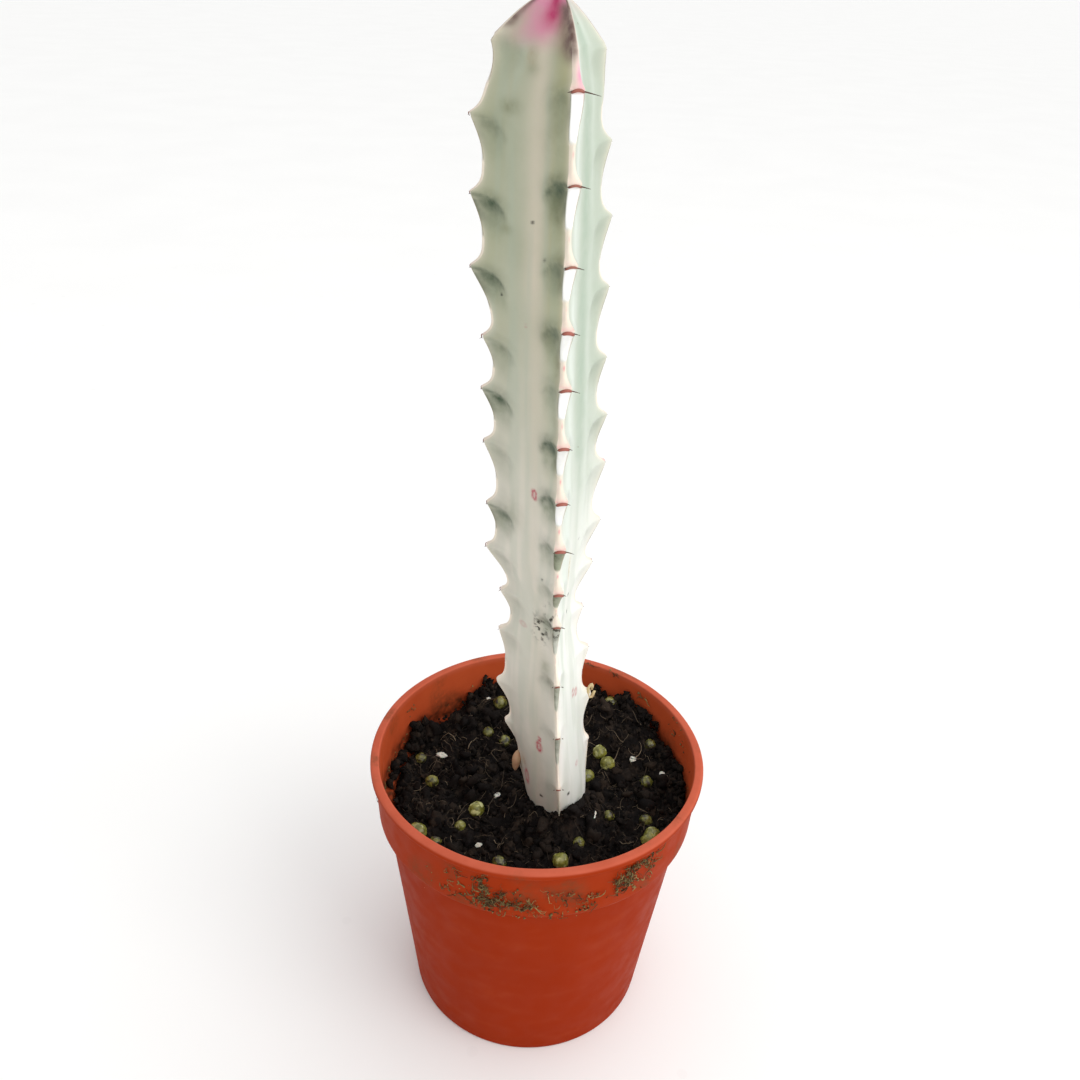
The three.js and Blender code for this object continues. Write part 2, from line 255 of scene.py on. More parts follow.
class Nodes:
    """Adds nodes to one material or group, a call a node."""

    def __init__(self, tree: bpy.types.NodeTree) -> None:
        """Keeps the tree that the nodes go into."""
        self.tree = tree

    def add(self, kind: str, inputs: dict, **settings: object) -> bpy.types.Node:
        """Adds a node.

        Args:
            kind: The node's type without its "ShaderNode" prefix.
            inputs: Constants or sockets for its inputs, by name or number.
            settings: The node's own settings.

        Returns:
            The node.
        """
        node = self.tree.nodes.new("ShaderNode" + kind)
        for label, value in settings.items():
            setattr(node, label, value)
        for key, value in inputs.items():
            self.plug(node.inputs[key], value)
        return node

    def plug(self, target: Socket, value: Value) -> None:
        """Links a socket to an input, or sets the input to a constant."""
        if isinstance(value, bpy.types.NodeSocket):
            self.tree.links.new(value, target)
        else:
            target.default_value = value

    def place(self) -> Socket:
        """The surface's own coordinates, in metres."""
        return self.add("TexCoord", {}).outputs["Object"]

    def mark(self, label: str) -> Socket:
        """A named value that the mesh carries."""
        return self.add("Attribute", {}, attribute_name=label).outputs["Fac"]

    def maths(self, operation: str, a: Value, b: Value = 0.0, clamp: bool = False) -> Socket:
        """One sum of two values."""
        node = self.add("Math", {0: a, 1: b}, operation=operation, use_clamp=clamp)
        return node.outputs[0]

    def span(self, value: Value, low: float, high: float, to_low: float, to_high: float) -> Socket:
        """A value carried from one range to another, and kept inside it."""
        node = self.add("MapRange", {0: value, 1: low, 2: high, 3: to_low, 4: to_high})
        return node.outputs[0]

    def blend(self, share: Value, a: Value, b: Value) -> Socket:
        """A mix of two colours."""
        node = self.add("Mix", {0: share, 6: a, 7: b}, data_type="RGBA")
        return node.outputs[2]

    def noise(self, size: float, detail: float = 3.0, rough: float = 0.55) -> Socket:
        """Noise with features about `size` millimetres wide."""
        inputs = {
            "Vector": self.place(),
            "Scale": 1 / (size * MM),
            "Detail": detail,
            "Roughness": rough,
        }
        return self.add("TexNoise", inputs).outputs[0]

    def group(self, tree: bpy.types.NodeTree, inputs: dict) -> bpy.types.Node:
        """Places a node group."""
        node = self.tree.nodes.new("ShaderNodeGroup")
        node.node_tree = tree
        for key, value in inputs.items():
            self.plug(node.inputs[key], value)
        return node


def new_group(name: str, takes: dict[str, tuple[str, Value]], gives: dict[str, str]) -> tuple:
    """Starts a node group.

    Args:
        name: Its name.
        takes: Each input's kind and starting value.
        gives: Each output's kind.

    Returns:
        The tree, its node adder, its input node and its output node.
    """
    tree = bpy.data.node_groups.new(name, "ShaderNodeTree")
    for label, (kind, value) in takes.items():
        socket = tree.interface.new_socket(label, in_out="INPUT", socket_type="NodeSocket" + kind)
        if kind != "Vector":
            socket.default_value = value
    for label, kind in gives.items():
        tree.interface.new_socket(label, in_out="OUTPUT", socket_type="NodeSocket" + kind)
    entry = tree.nodes.new("NodeGroupInput")
    leave = tree.nodes.new("NodeGroupOutput")
    return tree, Nodes(tree), entry, leave


class Effects:
    """The node groups that several finishes share, each built once."""

    def __init__(self) -> None:
        """Builds every group."""
        self.mottle = self._mottle()
        self.specks = self._specks()
        self.grain = self._grain()

    @staticmethod
    def _mottle() -> bpy.types.NodeTree:
        """Soft blotches: shifts a colour towards another where noise is high."""
        takes = {
            "Vector": ("Vector", None),
            "Scale": ("Float", 100.0),
            "Amount": ("Float", 1.0),
            "Base": ("Color", (1, 1, 1, 1)),
            "Blotch": ("Color", (0, 0, 0, 1)),
        }
        tree, nodes, entry, leave = new_group("soft_blotches", takes, {"Color": "Color"})
        pattern = nodes.add(
            "TexNoise",
            {"Vector": entry.outputs["Vector"], "Scale": entry.outputs["Scale"], "Detail": 5.0},
        ).outputs[0]
        mask = nodes.add("MapRange", {0: pattern, 1: 0.35, 2: 0.65}).outputs[0]
        mask = nodes.maths("MULTIPLY", mask, entry.outputs["Amount"])
        mixed = nodes.blend(mask, entry.outputs["Base"], entry.outputs["Blotch"])
        nodes.plug(leave.inputs["Color"], mixed)
        return tree

    @staticmethod
    def _specks() -> bpy.types.NodeTree:
        """Small scattered dots: shifts a colour towards another in a share of the cells."""
        takes = {
            "Vector": ("Vector", None),
            "Scale": ("Float", 900.0),
            "Size": ("Float", 0.25),
            "Share": ("Float", 0.3),
            "Base": ("Color", (1, 1, 1, 1)),
            "Dot": ("Color", (0, 0, 0, 1)),
        }
        tree, nodes, entry, leave = new_group("scattered_dots", takes, {"Color": "Color"})
        cells = nodes.add(
            "TexVoronoi", {"Vector": entry.outputs["Vector"], "Scale": entry.outputs["Scale"]}
        )
        near = nodes.maths("LESS_THAN", cells.outputs["Distance"], entry.outputs["Size"])
        chance = nodes.add("SeparateColor", {0: cells.outputs["Color"]}).outputs[0]
        picked = nodes.maths("LESS_THAN", chance, entry.outputs["Share"])
        mask = nodes.maths("MULTIPLY", near, picked)
        mixed = nodes.blend(mask, entry.outputs["Base"], entry.outputs["Dot"])
        nodes.plug(leave.inputs["Color"], mixed)
        return tree

    @staticmethod
    def _grain() -> bpy.types.NodeTree:
        """Height of a coarse and a fine grain together, and a roughness that follows it."""
        takes = {
            "Vector": ("Vector", None),
            "Coarse": ("Float", 300.0),
            "Fine": ("Float", 2000.0),
            "Fine Share": ("Float", 0.4),
            "Smoothest": ("Float", 0.4),
            "Roughest": ("Float", 0.6),
        }
        tree, nodes, entry, leave = new_group(
            "surface_grain", takes, {"Height": "Float", "Roughness": "Float"}
        )
        layers = []
        for label, detail in (("Coarse", 4.0), ("Fine", 3.0)):
            inputs = {
                "Vector": entry.outputs["Vector"],
                "Scale": entry.outputs[label],
                "Detail": detail,
            }
            layers.append(nodes.add("TexNoise", inputs).outputs[0])
        fine = nodes.maths("MULTIPLY", layers[1], entry.outputs["Fine Share"])
        nodes.plug(leave.inputs["Height"], nodes.maths("ADD", layers[0], fine))
        inputs = {
            0: layers[0],
            1: 0.35,
            2: 0.65,
            3: entry.outputs["Smoothest"],
            4: entry.outputs["Roughest"],
        }
        nodes.plug(leave.inputs["Roughness"], nodes.add("MapRange", inputs).outputs[0])
        return tree


@dataclass(frozen=True)
class Grain:
    """Feel of a surface.

    Attributes:
        coarse: Width of the coarse grain, in millimetres.
        fine: Width of the fine grain, in millimetres.
        fine_share: Height of the fine grain beside the coarse.
        smoothest: Lowest roughness.
        roughest: Highest roughness.
        depth: How strongly the grain stands out, 0 to 1.
        height: Height of the grain, in millimetres.
    """

    coarse: float
    fine: float
    fine_share: float
    smoothest: float
    roughest: float
    depth: float
    height: float


@dataclass(frozen=True)
class Finish:
    """What every finish has, and the last step of making its material.

    Attributes:
        name: The material's name.
        grain: Its feel.
        shader: Constants on the Principled shader's own sockets.
    """

    name: str
    grain: Grain
    shader: dict[str, Value] = field(default_factory=dict)

    def begin(self) -> tuple[bpy.types.Material, Nodes]:
        """Starts the material with an empty node tree."""
        material = bpy.data.materials.new(self.name)
        material.use_nodes = True
        material.node_tree.nodes.clear()
        return material, Nodes(material.node_tree)

    def close(self, nodes: Nodes, effects: Effects, colour: Value, extra: Value = 0.0) -> None:
        """Joins colour and grain to the shader.

        Args:
            nodes: The material's node adder.
            effects: The shared groups.
            colour: The finished colour.
            extra: More height, added to the grain.
        """
        grain = nodes.group(
            effects.grain,
            {
                "Vector": nodes.place(),
                "Coarse": 1 / (self.grain.coarse * MM),
                "Fine": 1 / (self.grain.fine * MM),
                "Fine Share": self.grain.fine_share,
                "Smoothest": self.grain.smoothest,
                "Roughest": self.grain.roughest,
            },
        )
        height = nodes.maths("ADD", grain.outputs["Height"], extra)
        bump = nodes.add(
            "Bump",
            {
                "Strength": self.grain.depth,
                "Distance": self.grain.height * MM,
                "Height": height,
            },
        )
        shader = nodes.add(
            "BsdfPrincipled",
            {
                "Base Color": colour,
                "Roughness": grain.outputs["Roughness"],
                "Normal": bump.outputs[0],
                **self.shader,
            },
        )
        output = nodes.add("OutputMaterial", {})
        nodes.plug(output.inputs["Surface"], shader.outputs[0])


@dataclass(frozen=True)
class Wash:
    """A patch of colour on a surface.

    Attributes:
        mark: The mesh's named value that places it.
        colour: Its colour.
        strength: How fully it covers, 0 to 1.
        broken: How much noise breaks it up, 0 to 1.
        size: Width of that noise, in millimetres.
    """

    mark: str
    colour: Colour
    strength: float = 1.0
    broken: float = 0.3
    size: float = 2.0


@dataclass(frozen=True)
class WashedFinish(Finish):
    """A finish that lays washes one over another on a mottled ground.

    Attributes:
        ground: The colour under the washes.
        mottled: The colour of the ground's soft blotches.
        blotch: Width of the blotches, in millimetres.
        blotch_amount: How fully the blotches cover the ground, 0 to 1.
        washes: The washes, from the bottom up.
        dots: Colour of small scattered dots.
        dot_size: Width of a dot's cell, in millimetres.
        dot_share: Share of the cells that have a dot.
        dot_width: A dot's radius beside its cell.
    """

    ground: Colour = (0.5, 0.5, 0.5, 1)
    mottled: Colour = (0.4, 0.4, 0.4, 1)
    blotch: float = 5.0
    blotch_amount: float = 0.6
    washes: tuple[Wash, ...] = ()
    dots: Colour = (0, 0, 0, 1)
    dot_size: float = 2.0
    dot_share: float = 0.1
    dot_width: float = 0.12

    def make(self, effects: Effects) -> bpy.types.Material:
        """Makes the material from the shared groups."""
        material, nodes = self.begin()
        place = nodes.place()
        ground = {
            "Vector": place,
            "Scale": 1 / (self.blotch * MM),
            "Amount": self.blotch_amount,
            "Base": self.ground,
            "Blotch": self.mottled,
        }
        colour = nodes.group(effects.mottle, ground).outputs["Color"]
        for wash in self.washes:
            worn = nodes.span(nodes.noise(wash.size), 0.3, 0.7, 1 - wash.broken, 1 + wash.broken)
            cover = nodes.maths("MULTIPLY", nodes.mark(wash.mark), worn)
            cover = nodes.maths("MULTIPLY", cover, wash.strength, clamp=True)
            colour = nodes.blend(cover, colour, wash.colour)
        dots = {
            "Vector": place,
            "Scale": 1 / (self.dot_size * MM),
            "Size": self.dot_width,
            "Share": self.dot_share,
            "Base": colour,
            "Dot": self.dots,
        }
        colour = nodes.group(effects.specks, dots).outputs["Color"]
        self.close(nodes, effects, colour)
        return material


# ---------------------------------------------------------------- finishes

STEM_SKIN = WashedFinish(
    "ghost_white_skin",
    Grain(2.2, 0.28, 0.25, 0.42, 0.6, 0.3, 0.12),
    {
        "Subsurface Weight": 0.1,
        "Subsurface Radius": (0.9, 1.0, 0.7),
        "Subsurface Scale": 0.001,
        "Specular IOR Level": 0.3,
    },
    ground=tint(180, 183, 160),
    mottled=tint(160, 166, 140),
    blotch=7.0,
    blotch_amount=0.5,
    washes=(
        Wash("lower_beige", tint(224, 218, 205), 0.95, 0.1, 9.0),
        # grey towards the sides of the lower faces, and painted shadow near the soil
        Wash("grey_sides_and_foot_shadow", tint(176, 178, 166), 0.7, 0.3, 5.0),
        Wash("olive_side", tint(172, 171, 130), 0.8, 0.3, 5.0),
        Wash("pale_stripe", tint(206, 198, 178), 0.9, 0.15, 6.0),
        Wash("sunny_face", tint(178, 188, 172), 1.0, 0.04, 5.0),
        Wash("sunny_low", tint(234, 234, 228), 1.0, 0.05, 6.0),
        Wash("mint_strip", tint(164, 180, 162), 0.8, 0.4, 4.0),
        Wash("sunny_stripe", tint(214, 221, 212), 0.9, 0.15, 5.0),
        Wash("streak", tint(172, 184, 166), 0.3, 0.2, 6.0),
        Wash("green_inside", tint(126, 136, 112), 0.8, 0.35, 1.6),
        # olive patches, and painted shadow along the left edge under each tooth
        Wash("olive_patch_and_edge_shadow", tint(112, 116, 82), 0.8, 0.3, 1.4),
        Wash("green_arch", tint(66, 82, 60), 1.0, 0.25, 0.9),
        Wash("cream_flank", tint(240, 228, 212), 0.9, 0.1, 2.0),
        # the pale underside of a tooth, painted pure white as a blown highlight
        Wash("pale_underside_glare", tint(255, 255, 254), 1.0, 0.03, 2.0),
        # painted shadow on the undersides of the teeth
        Wash("painted_underside_shadow", tint(92, 98, 76), 0.9, 0.45, 0.9),
        Wash("pink_tooth", tint(226, 140, 146), 0.9, 0.3, 0.8),
        Wash("tip_pink", tint(220, 140, 170), 0.9, 0.15, 2.5),
        Wash("tip_deep", tint(190, 50, 104), 0.9, 0.2, 1.5),
        Wash("tip_mauve", tint(108, 84, 78), 0.9, 0.25, 1.5),
        Wash("scratch", tint(176, 158, 92), 0.8, 0.7, 0.5),
        Wash("dry_brown", tint(150, 108, 66), 0.85, 0.4, 0.6),
        Wash("ring_scar", tint(178, 58, 78), 0.9, 0.35, 0.3),
        Wash("crust", tint(62, 60, 48), 0.9, 0.8, 0.35),
        Wash("black_dot", tint(28, 26, 20), 1.0, 0.05, 0.4),
        Wash("foot_algae", tint(84, 94, 66), 0.85, 0.75, 0.6),
    ),
    dots=tint(130, 122, 102),
    dot_size=3.2,
    dot_share=0.04,
    dot_width=0.045,
)

SPINE_HORN = WashedFinish(
    "spine_horn",
    Grain(0.6, 0.1, 0.3, 0.4, 0.6, 0.5, 0.04),
    {"Specular IOR Level": 0.35},
    ground=tint(176, 120, 100),
    mottled=tint(140, 84, 70),
    blotch=0.6,
    washes=(
        Wash("rosy", tint(192, 104, 92), 0.8, 0.3, 0.5),
        Wash("cream", tint(206, 186, 138), 0.95, 0.3, 0.6),
        Wash("tone", tint(40, 28, 24), 1.0, 0.15, 0.5),
    ),
    dots=tint(80, 44, 36),
    dot_size=0.4,
    dot_share=0.2,
)

POT_PLASTIC = WashedFinish(
    "terracotta_plastic",
    Grain(3.0, 0.22, 0.5, 0.44, 0.6, 0.12, 0.06),
    {"Specular IOR Level": 0.03},
    ground=tint(150, 44, 8),
    mottled=tint(143, 40, 7),
    blotch=14.0,
    blotch_amount=0.6,
    washes=(
        Wash("collar", tint(156, 50, 14), 0.8, 0.1, 12.0),
        # painted light: the inner wall, the same plastic as the outside, is given a paler orange
        Wash("inside", tint(198, 86, 48), 0.9, 0.15, 8.0),
        # painted highlight: a paler pink along the lip's rounded bead
        Wash("lip", tint(198, 98, 74), 0.85, 0.15, 4.0),
        # darker low on the inner wall, just above the soil
        Wash("low_inner_dark", tint(92, 40, 22), 0.75, 0.6, 1.4),
        Wash("scuff", tint(180, 84, 54), 0.08, 0.7, 2.0),
        Wash("dust", tint(92, 66, 42), 0.3, 0.9, 0.7),
    ),
    dots=tint(190, 112, 84),
    dot_size=2.8,
    dot_share=0.05,
    dot_width=0.035,
)

PEAT = WashedFinish(
    "peat",
    Grain(0.7, 0.12, 0.6, 0.7, 0.95, 0.9, 0.25),
    {"Specular IOR Level": 0.12},
    ground=tint(26, 21, 19),
    mottled=tint(9, 7, 7),
    blotch=2.6,
    blotch_amount=0.9,
    washes=(Wash("tone", tint(62, 51, 42), 0.7, 0.4, 1.2),),
    dots=tint(84, 72, 58),
    dot_size=0.9,
    dot_share=0.05,
    dot_width=0.1,
)

ROOT_FIBRE = WashedFinish(
    "root_fibre",
    Grain(0.8, 0.1, 0.3, 0.6, 0.85, 0.4, 0.03),
    {"Specular IOR Level": 0.3},
    ground=tint(58, 46, 36),
    mottled=tint(38, 30, 24),
    blotch=1.5,
    washes=(Wash("tone", tint(150, 132, 108), 0.85, 0.15, 1.0),),
    dots=tint(30, 24, 20),
    dot_size=0.8,
    dot_share=0.2,
)

COLLAR_MOSS = WashedFinish(
    "collar_moss",
    Grain(0.5, 0.1, 0.5, 0.75, 0.95, 0.9, 0.15),
    {"Specular IOR Level": 0.25},
    ground=tint(84, 62, 34),
    mottled=tint(54, 38, 20),
    blotch=0.8,
    blotch_amount=0.9,
    washes=(Wash("tone", tint(158, 138, 88), 0.85, 0.3, 0.6),),
    dots=tint(120, 104, 64),
    dot_size=0.6,
    dot_share=0.08,
)

PRILL_COAT = WashedFinish(
    "prill_coat",
    Grain(0.55, 0.1, 0.35, 0.22, 0.42, 0.7, 0.12),
    {"Specular IOR Level": 0.5, "Coat Weight": 0.25, "Coat Roughness": 0.2},
    ground=tint(146, 144, 60),
    mottled=tint(92, 92, 30),
    blotch=0.9,
    blotch_amount=0.9,
    washes=(
        Wash("tone", tint(206, 206, 142), 0.85, 0.5, 0.6),
        Wash("soiled", tint(38, 34, 20), 0.9, 0.4, 0.8),
    ),
    dots=tint(46, 44, 22),
    dot_size=0.55,
    dot_share=0.25,
    dot_width=0.2,
)

PERLITE_CHIP = WashedFinish(
    "perlite_chip",
    Grain(0.4, 0.09, 0.6, 0.75, 0.95, 0.9, 0.12),
    {"Subsurface Weight": 0.1, "Subsurface Scale": 0.0005, "Specular IOR Level": 0.3},
    ground=tint(238, 236, 224),
    mottled=tint(206, 202, 184),
    blotch=0.6,
    washes=(Wash("soiled", tint(70, 60, 46), 0.8, 0.4, 0.5),),
    dots=tint(150, 142, 120),
    dot_size=0.35,
    dot_share=0.2,
)

FLOOR_PAPER = WashedFinish(
    "floor_paper",
    Grain(6.0, 0.8, 0.5, 0.85, 0.95, 0.1, 0.02),
    {"Specular IOR Level": 0.1},
    ground=tint(252, 252, 251),
    mottled=tint(249, 249, 248),
    blotch=60.0,
    dots=tint(248, 248, 247),
    dot_size=9.0,
)


# ---------------------------------------------------------------- pot


@dataclass
class NurseryPot:
    """The small round nursery pot. Its sizes are the CAD pot's, in millimetres."""

    height: float = 50.0
    rim_radius: float = 27.5
    base_radius: float = 20.7
    wall: float = 0.9
    collar_height: float = 10.4
    collar_step: float = 1.3
    collar_taper: float = 0.6
    lip_proud: float = 0.55
    lip_depth: float = 1.3
    foot_height: float = 1.2
    foot_width: float = 2.4
    floor: float = 1.2
    drain_radius: float = 1.8
    drain_count: int = 6
    drain_inset: float = 5.3
    sides: int = 192
    wobble: float = 0.14
    spacing: float = 0.9

    @property
    def collar_bottom(self) -> float:
        """Height of the collar's lower edge."""
        return self.height - self.collar_height

    @property
    def ledge_top(self) -> float:
        """Height of the ledge inside the collar."""
        return self.collar_bottom + self.wall

    @property
    def body_top(self) -> float:
        """Outside radius of the body where it meets the collar."""
        return self.rim_radius - self.lip_proud - self.collar_taper - self.collar_step

    def body_radius(self, z: float) -> float:
        """Outside radius of the body at a height."""
        share = z / self.collar_bottom
        return self.base_radius + (self.body_top - self.base_radius) * share

    def collar_radius(self, z: float) -> float:
        """Outside radius of the collar at a height."""
        share = (z - self.collar_bottom) / self.collar_height
        return self.rim_radius - self.lip_proud - self.collar_taper * (1 - share)

    def corners(self) -> list[tuple[float, float, float]]:
        """The profile's corners as radius, height and rounding."""
        top, wall = self.height, self.wall
        low, lip = self.collar_bottom, self.height - self.lip_depth
        floor_top = self.foot_height + self.floor
        foot_in = self.base_radius - self.foot_width
        bead = self.lip_depth / 2 - 0.02
        ledge = self.ledge_top
        return [
            (foot_in - 0.6, self.foot_height, 0.3),
            (foot_in, 0.0, 0.3),
            (self.base_radius - 0.1, 0.0, 0.5),
            (self.body_radius(low), low, 0.6),
            (self.collar_radius(low), low, 0.62),
            (self.collar_radius(low + 1.5), low + 1.5, 0.2),
            (self.collar_radius(lip) - 0.02, lip, 0.15),
            (self.rim_radius, lip + 0.1, 0.4),
            (self.rim_radius, top, bead),
            (self.collar_radius(top) - wall, top, 0.3),
            (self.collar_radius(ledge) - wall, ledge, 0.45),
            (self.body_radius(ledge) - wall, ledge, 0.3),
            (self.body_radius(floor_top) - wall, floor_top, 0.8),
        ]

    def profile(self) -> np.ndarray:
        """The rounded profile, from the middle of the underside to the middle of the floor."""
        start = np.array([0.0, self.foot_height])
        end = np.array([0.0, self.foot_height + self.floor])
        stops = self.corners()
        line = [start]
        for i, (radius, z, rounding) in enumerate(stops):
            here = np.array([radius, z])
            before = np.array(stops[i - 1][:2]) if i else start
            after = np.array(stops[i + 1][:2]) if i + 1 < len(stops) else end
            into, out = before - here, after - here
            reach = min(rounding, np.linalg.norm(into) * 0.48, np.linalg.norm(out) * 0.48)
            a = here + into / np.linalg.norm(into) * reach
            b = here + out / np.linalg.norm(out) * reach
            for t in np.linspace(0, 1, 6):
                line.append((1 - t) ** 2 * a + 2 * t * (1 - t) * here + t * t * b)
        line.append(end)
        dense = [line[0]]
        for point in line[1:]:
            steps = max(1, int(np.linalg.norm(point - dense[-1]) / self.spacing))
            dense += [dense[-1] + (point - dense[-1]) * (k + 1) / steps for k in range(steps)]
        return np.array(dense)

    def skin(self) -> Skin:
        """The turned shell with its marks, before the drain holes."""
        profile = self.profile()[1:-1]
        turn = np.arange(self.sides) / self.sides * 2 * math.pi
        high = smooth(profile[:, 1], 5, self.height)[:, None]
        oval = np.cos(2 * turn - 0.7) + 0.5 * np.cos(3 * turn + 1.1) + 0.25 * np.cos(7 * turn)
        radius = profile[:, :1] + self.wobble * high * oval
        drop = 0.1 * high * np.cos(2 * turn + 2.0)
        rings = np.stack(
            [
                radius * np.cos(turn),
                radius * np.sin(turn),
                profile[:, 1:] + drop,
            ],
            axis=-1,
        )
        rings[..., 2] = np.where(profile[:, 1:] < 0.6, profile[:, 1:], rings[..., 2])
        outer = self._outside(profile)[:, None] * np.ones(self.sides)
        z = profile[:, 1:] * np.ones(self.sides)
        flat = rings.reshape(-1, 3)
        rub = wander(flat * (1, 1, 4), 9.0, 3.1, 4).reshape(z.shape)
        patch = wander(flat, 6.0, 8.4, 3).reshape(z.shape)
        inner = 1 - outer
        dusty = outer * smooth(patch, 0.15, 0.6) * smooth(z, 38.5, 41)
        marks = {
            "collar": outer * smooth(z, self.collar_bottom - 0.2, self.collar_bottom + 0.3),
            # painted light: the whole inner wall is paler
            "inside": inner,
            # painted highlight along the narrow crest of the lip's bead
            "lip": smooth(z, self.height - 0.5, self.height - 0.15),
            # darker low on the inner wall, just above the soil
            "low_inner_dark": inner * (1 - smooth(z, 42.0, 45.5 + 2 * patch)),
            "scuff": outer * smooth(rub, 0.18, 0.5),
            "dust": dusty + 0.6 * inner * smooth(patch, 0.2, 0.6),
        }
        return lofted(rings, marks)

    def _outside(self, profile: np.ndarray) -> np.ndarray:
        """1 on the pot's outside and 0 inside, along the profile."""
        crest = int(np.argmax(profile[:, 1] - 0.001 * profile[:, 0]))
        return (np.arange(len(profile)) <= crest).astype(float)

    def drills(self) -> bpy.types.Object:
        """One object with a drill for each drain hole, a little flared."""
        circle = self.base_radius - self.foot_width - self.drain_inset
        depth = np.linspace(-1.5, self.foot_height + self.floor + 2, 9)
        turn = np.arange(32) / 32 * 2 * math.pi
        skins = []
        for hole in range(self.drain_count):
            around = (hole + 0.5) / self.drain_count * 2 * math.pi
            middle = np.array([circle * math.cos(around), circle * math.sin(around)])
            wide = self.drain_radius * np.ones((len(depth), 1))
            rings = np.stack(
                [
                    middle[0] + wide * np.cos(turn),
                    middle[1] + wide * np.sin(turn),
                    depth[:, None] * np.ones(32),
                ],
                axis=-1,
            )
            skins.append(lofted(rings))
        return joined(skins).to_object("drain_drills", bpy.data.materials.new("drill"))

    def build(self, effects: Effects) -> bpy.types.Object:
        """Builds the pot and cuts its drain holes.

        Args:
            effects: The shared shader groups.

        Returns:
            The finished pot.
        """
        pot = self.skin().to_object("nursery_pot", POT_PLASTIC.make(effects))
        drills = self.drills()
        cut = pot.modifiers.new("drain_holes", "BOOLEAN")
        cut.operation, cut.object, cut.solver = "DIFFERENCE", drills, "EXACT"
        shaped = bpy.data.meshes.new_from_object(
            pot.evaluated_get(bpy.context.evaluated_depsgraph_get())
        )
        pot.modifiers.remove(cut)
        pot.data = shaped
        bpy.data.objects.remove(drills)
        seat(pot, Slot.POT, "pot")
        return pot


# ---------------------------------------------------------------- stem


@dataclass(frozen=True)
class Tooth:
    """One tooth of a rib.

    Attributes:
        level: Its level, from the soil (0) to the tip (1).
        stand: How far it stands out of the even outline, in millimetres.
        green: How strongly the skin round it is green, 0 to 1.
        shade: How dark the painted shadow on its underside is, 0 to 1.
        rosy: How rosy its point is, 0 to 1.
        spine: Reach of its spines, in millimetres.
    """

    level: float
    stand: float = 0.0
    green: float = 0.1
    shade: float = 0.1
    rosy: float = 0.2
    spine: float = 0.3


@dataclass(frozen=True)
class Course:
    """A rib's edge, ring by ring.

    Attributes:
        depth: How deep the scallop is, 0 at a tooth and 1 in the valley.
        closeness: How close the ring is to a tooth, 1 at it and 0 in the valley.
        beneath: 1 under a tooth and 0 above one.
        stand: How far the edge stands out of the even outline, in millimetres.
    """

    depth: np.ndarray
    closeness: np.ndarray
    beneath: np.ndarray
    stand: np.ndarray


@dataclass(frozen=True)
class Rib:
    """One rib of the stem.

    Attributes:
        azimuth: Which way it faces at the soil, in degrees.
        teeth: Its teeth, from the soil up.
        twist: Degrees that it turns between the soil and the tip.
    """

    azimuth: float
    teeth: tuple[Tooth, ...]
    twist: float = 13.0

    def out(self, level: np.ndarray) -> np.ndarray:
        """The direction it stands out in, at each level."""
        turn = np.radians(self.azimuth + self.twist * np.maximum(level, 0))
        return np.stack([np.cos(turn), np.sin(turn), np.zeros_like(turn)], axis=-1)

    def side(self, level: np.ndarray) -> np.ndarray:
        """The direction across it, anticlockwise seen from above."""
        out = self.out(level)
        return np.stack([-out[..., 1], out[..., 0], out[..., 2]], axis=-1)

    def course(self, level: np.ndarray, valley: float, upper: float, under: float) -> Course:
        """Follows the edge up the stem.

        Args:
            level: Levels up the stem.
            valley: Share from the lower tooth at which the valley is deepest.
            upper: Sharpness of the flank above a tooth.
            under: Sharpness of the flank under a tooth.

        Returns:
            The edge at each level. The teeth are a little blunt.
        """
        stops = np.array([tooth.level for tooth in self.teeth])
        stands = np.array([tooth.stand for tooth in self.teeth])
        index = np.searchsorted(stops, level)
        inside = (index > 0) & (index < len(stops))
        above = np.clip(index, 1, len(stops) - 1)
        share = np.clip((level - stops[above - 1]) / (stops[above] - stops[above - 1]), 0, 1)
        on_upper = share < valley
        closeness = np.where(on_upper, 1 - share / valley, 1 - (1 - share) / (1 - valley))
        depth = 1 - closeness ** np.where(on_upper, upper, under)
        blunt = 0.14
        depth = (np.hypot(depth, blunt) - blunt) / (math.hypot(1, blunt) - blunt)
        beyond = np.abs(level - stops[np.where(index == 0, 0, -1)])
        return Course(
            np.where(inside, depth, 0.0),
            np.where(inside, closeness, 0.5 + 0.5 * np.exp(-beyond / 0.012)),
            np.where(inside & ~on_upper, 1.0, 0.0),
            stands[above - 1] + (stands[above] - stands[above - 1]) * smooth(share, 0, 1),
        )

    def of_tooth(self, trait: str, level: np.ndarray) -> np.ndarray:
        """A trait of the tooth that each level lies under, or of the last one."""
        stops = [tooth.level for tooth in self.teeth]
        index = np.clip(np.searchsorted(stops, level - 0.004), 0, len(stops) - 1)
        return np.array([getattr(tooth, trait) for tooth in self.teeth])[index]


@dataclass(frozen=True)
class Spot:
    """A mark on one face of the stem.

    Attributes:
        face: The face, counted from the front rib anticlockwise seen from above.
        level: Its level.
        across: Its place across the face, 0 to 1.
        size: Its half-width, in millimetres.
        kind: The mark that it adds to.
        tall: Its height beside its width.
        strength: How strong it is, 0 to 1.
    """

    face: int
    level: float
    across: float
    size: float
    kind: str = "black_dot"
    tall: float = 1.0
    strength: float = 1.0


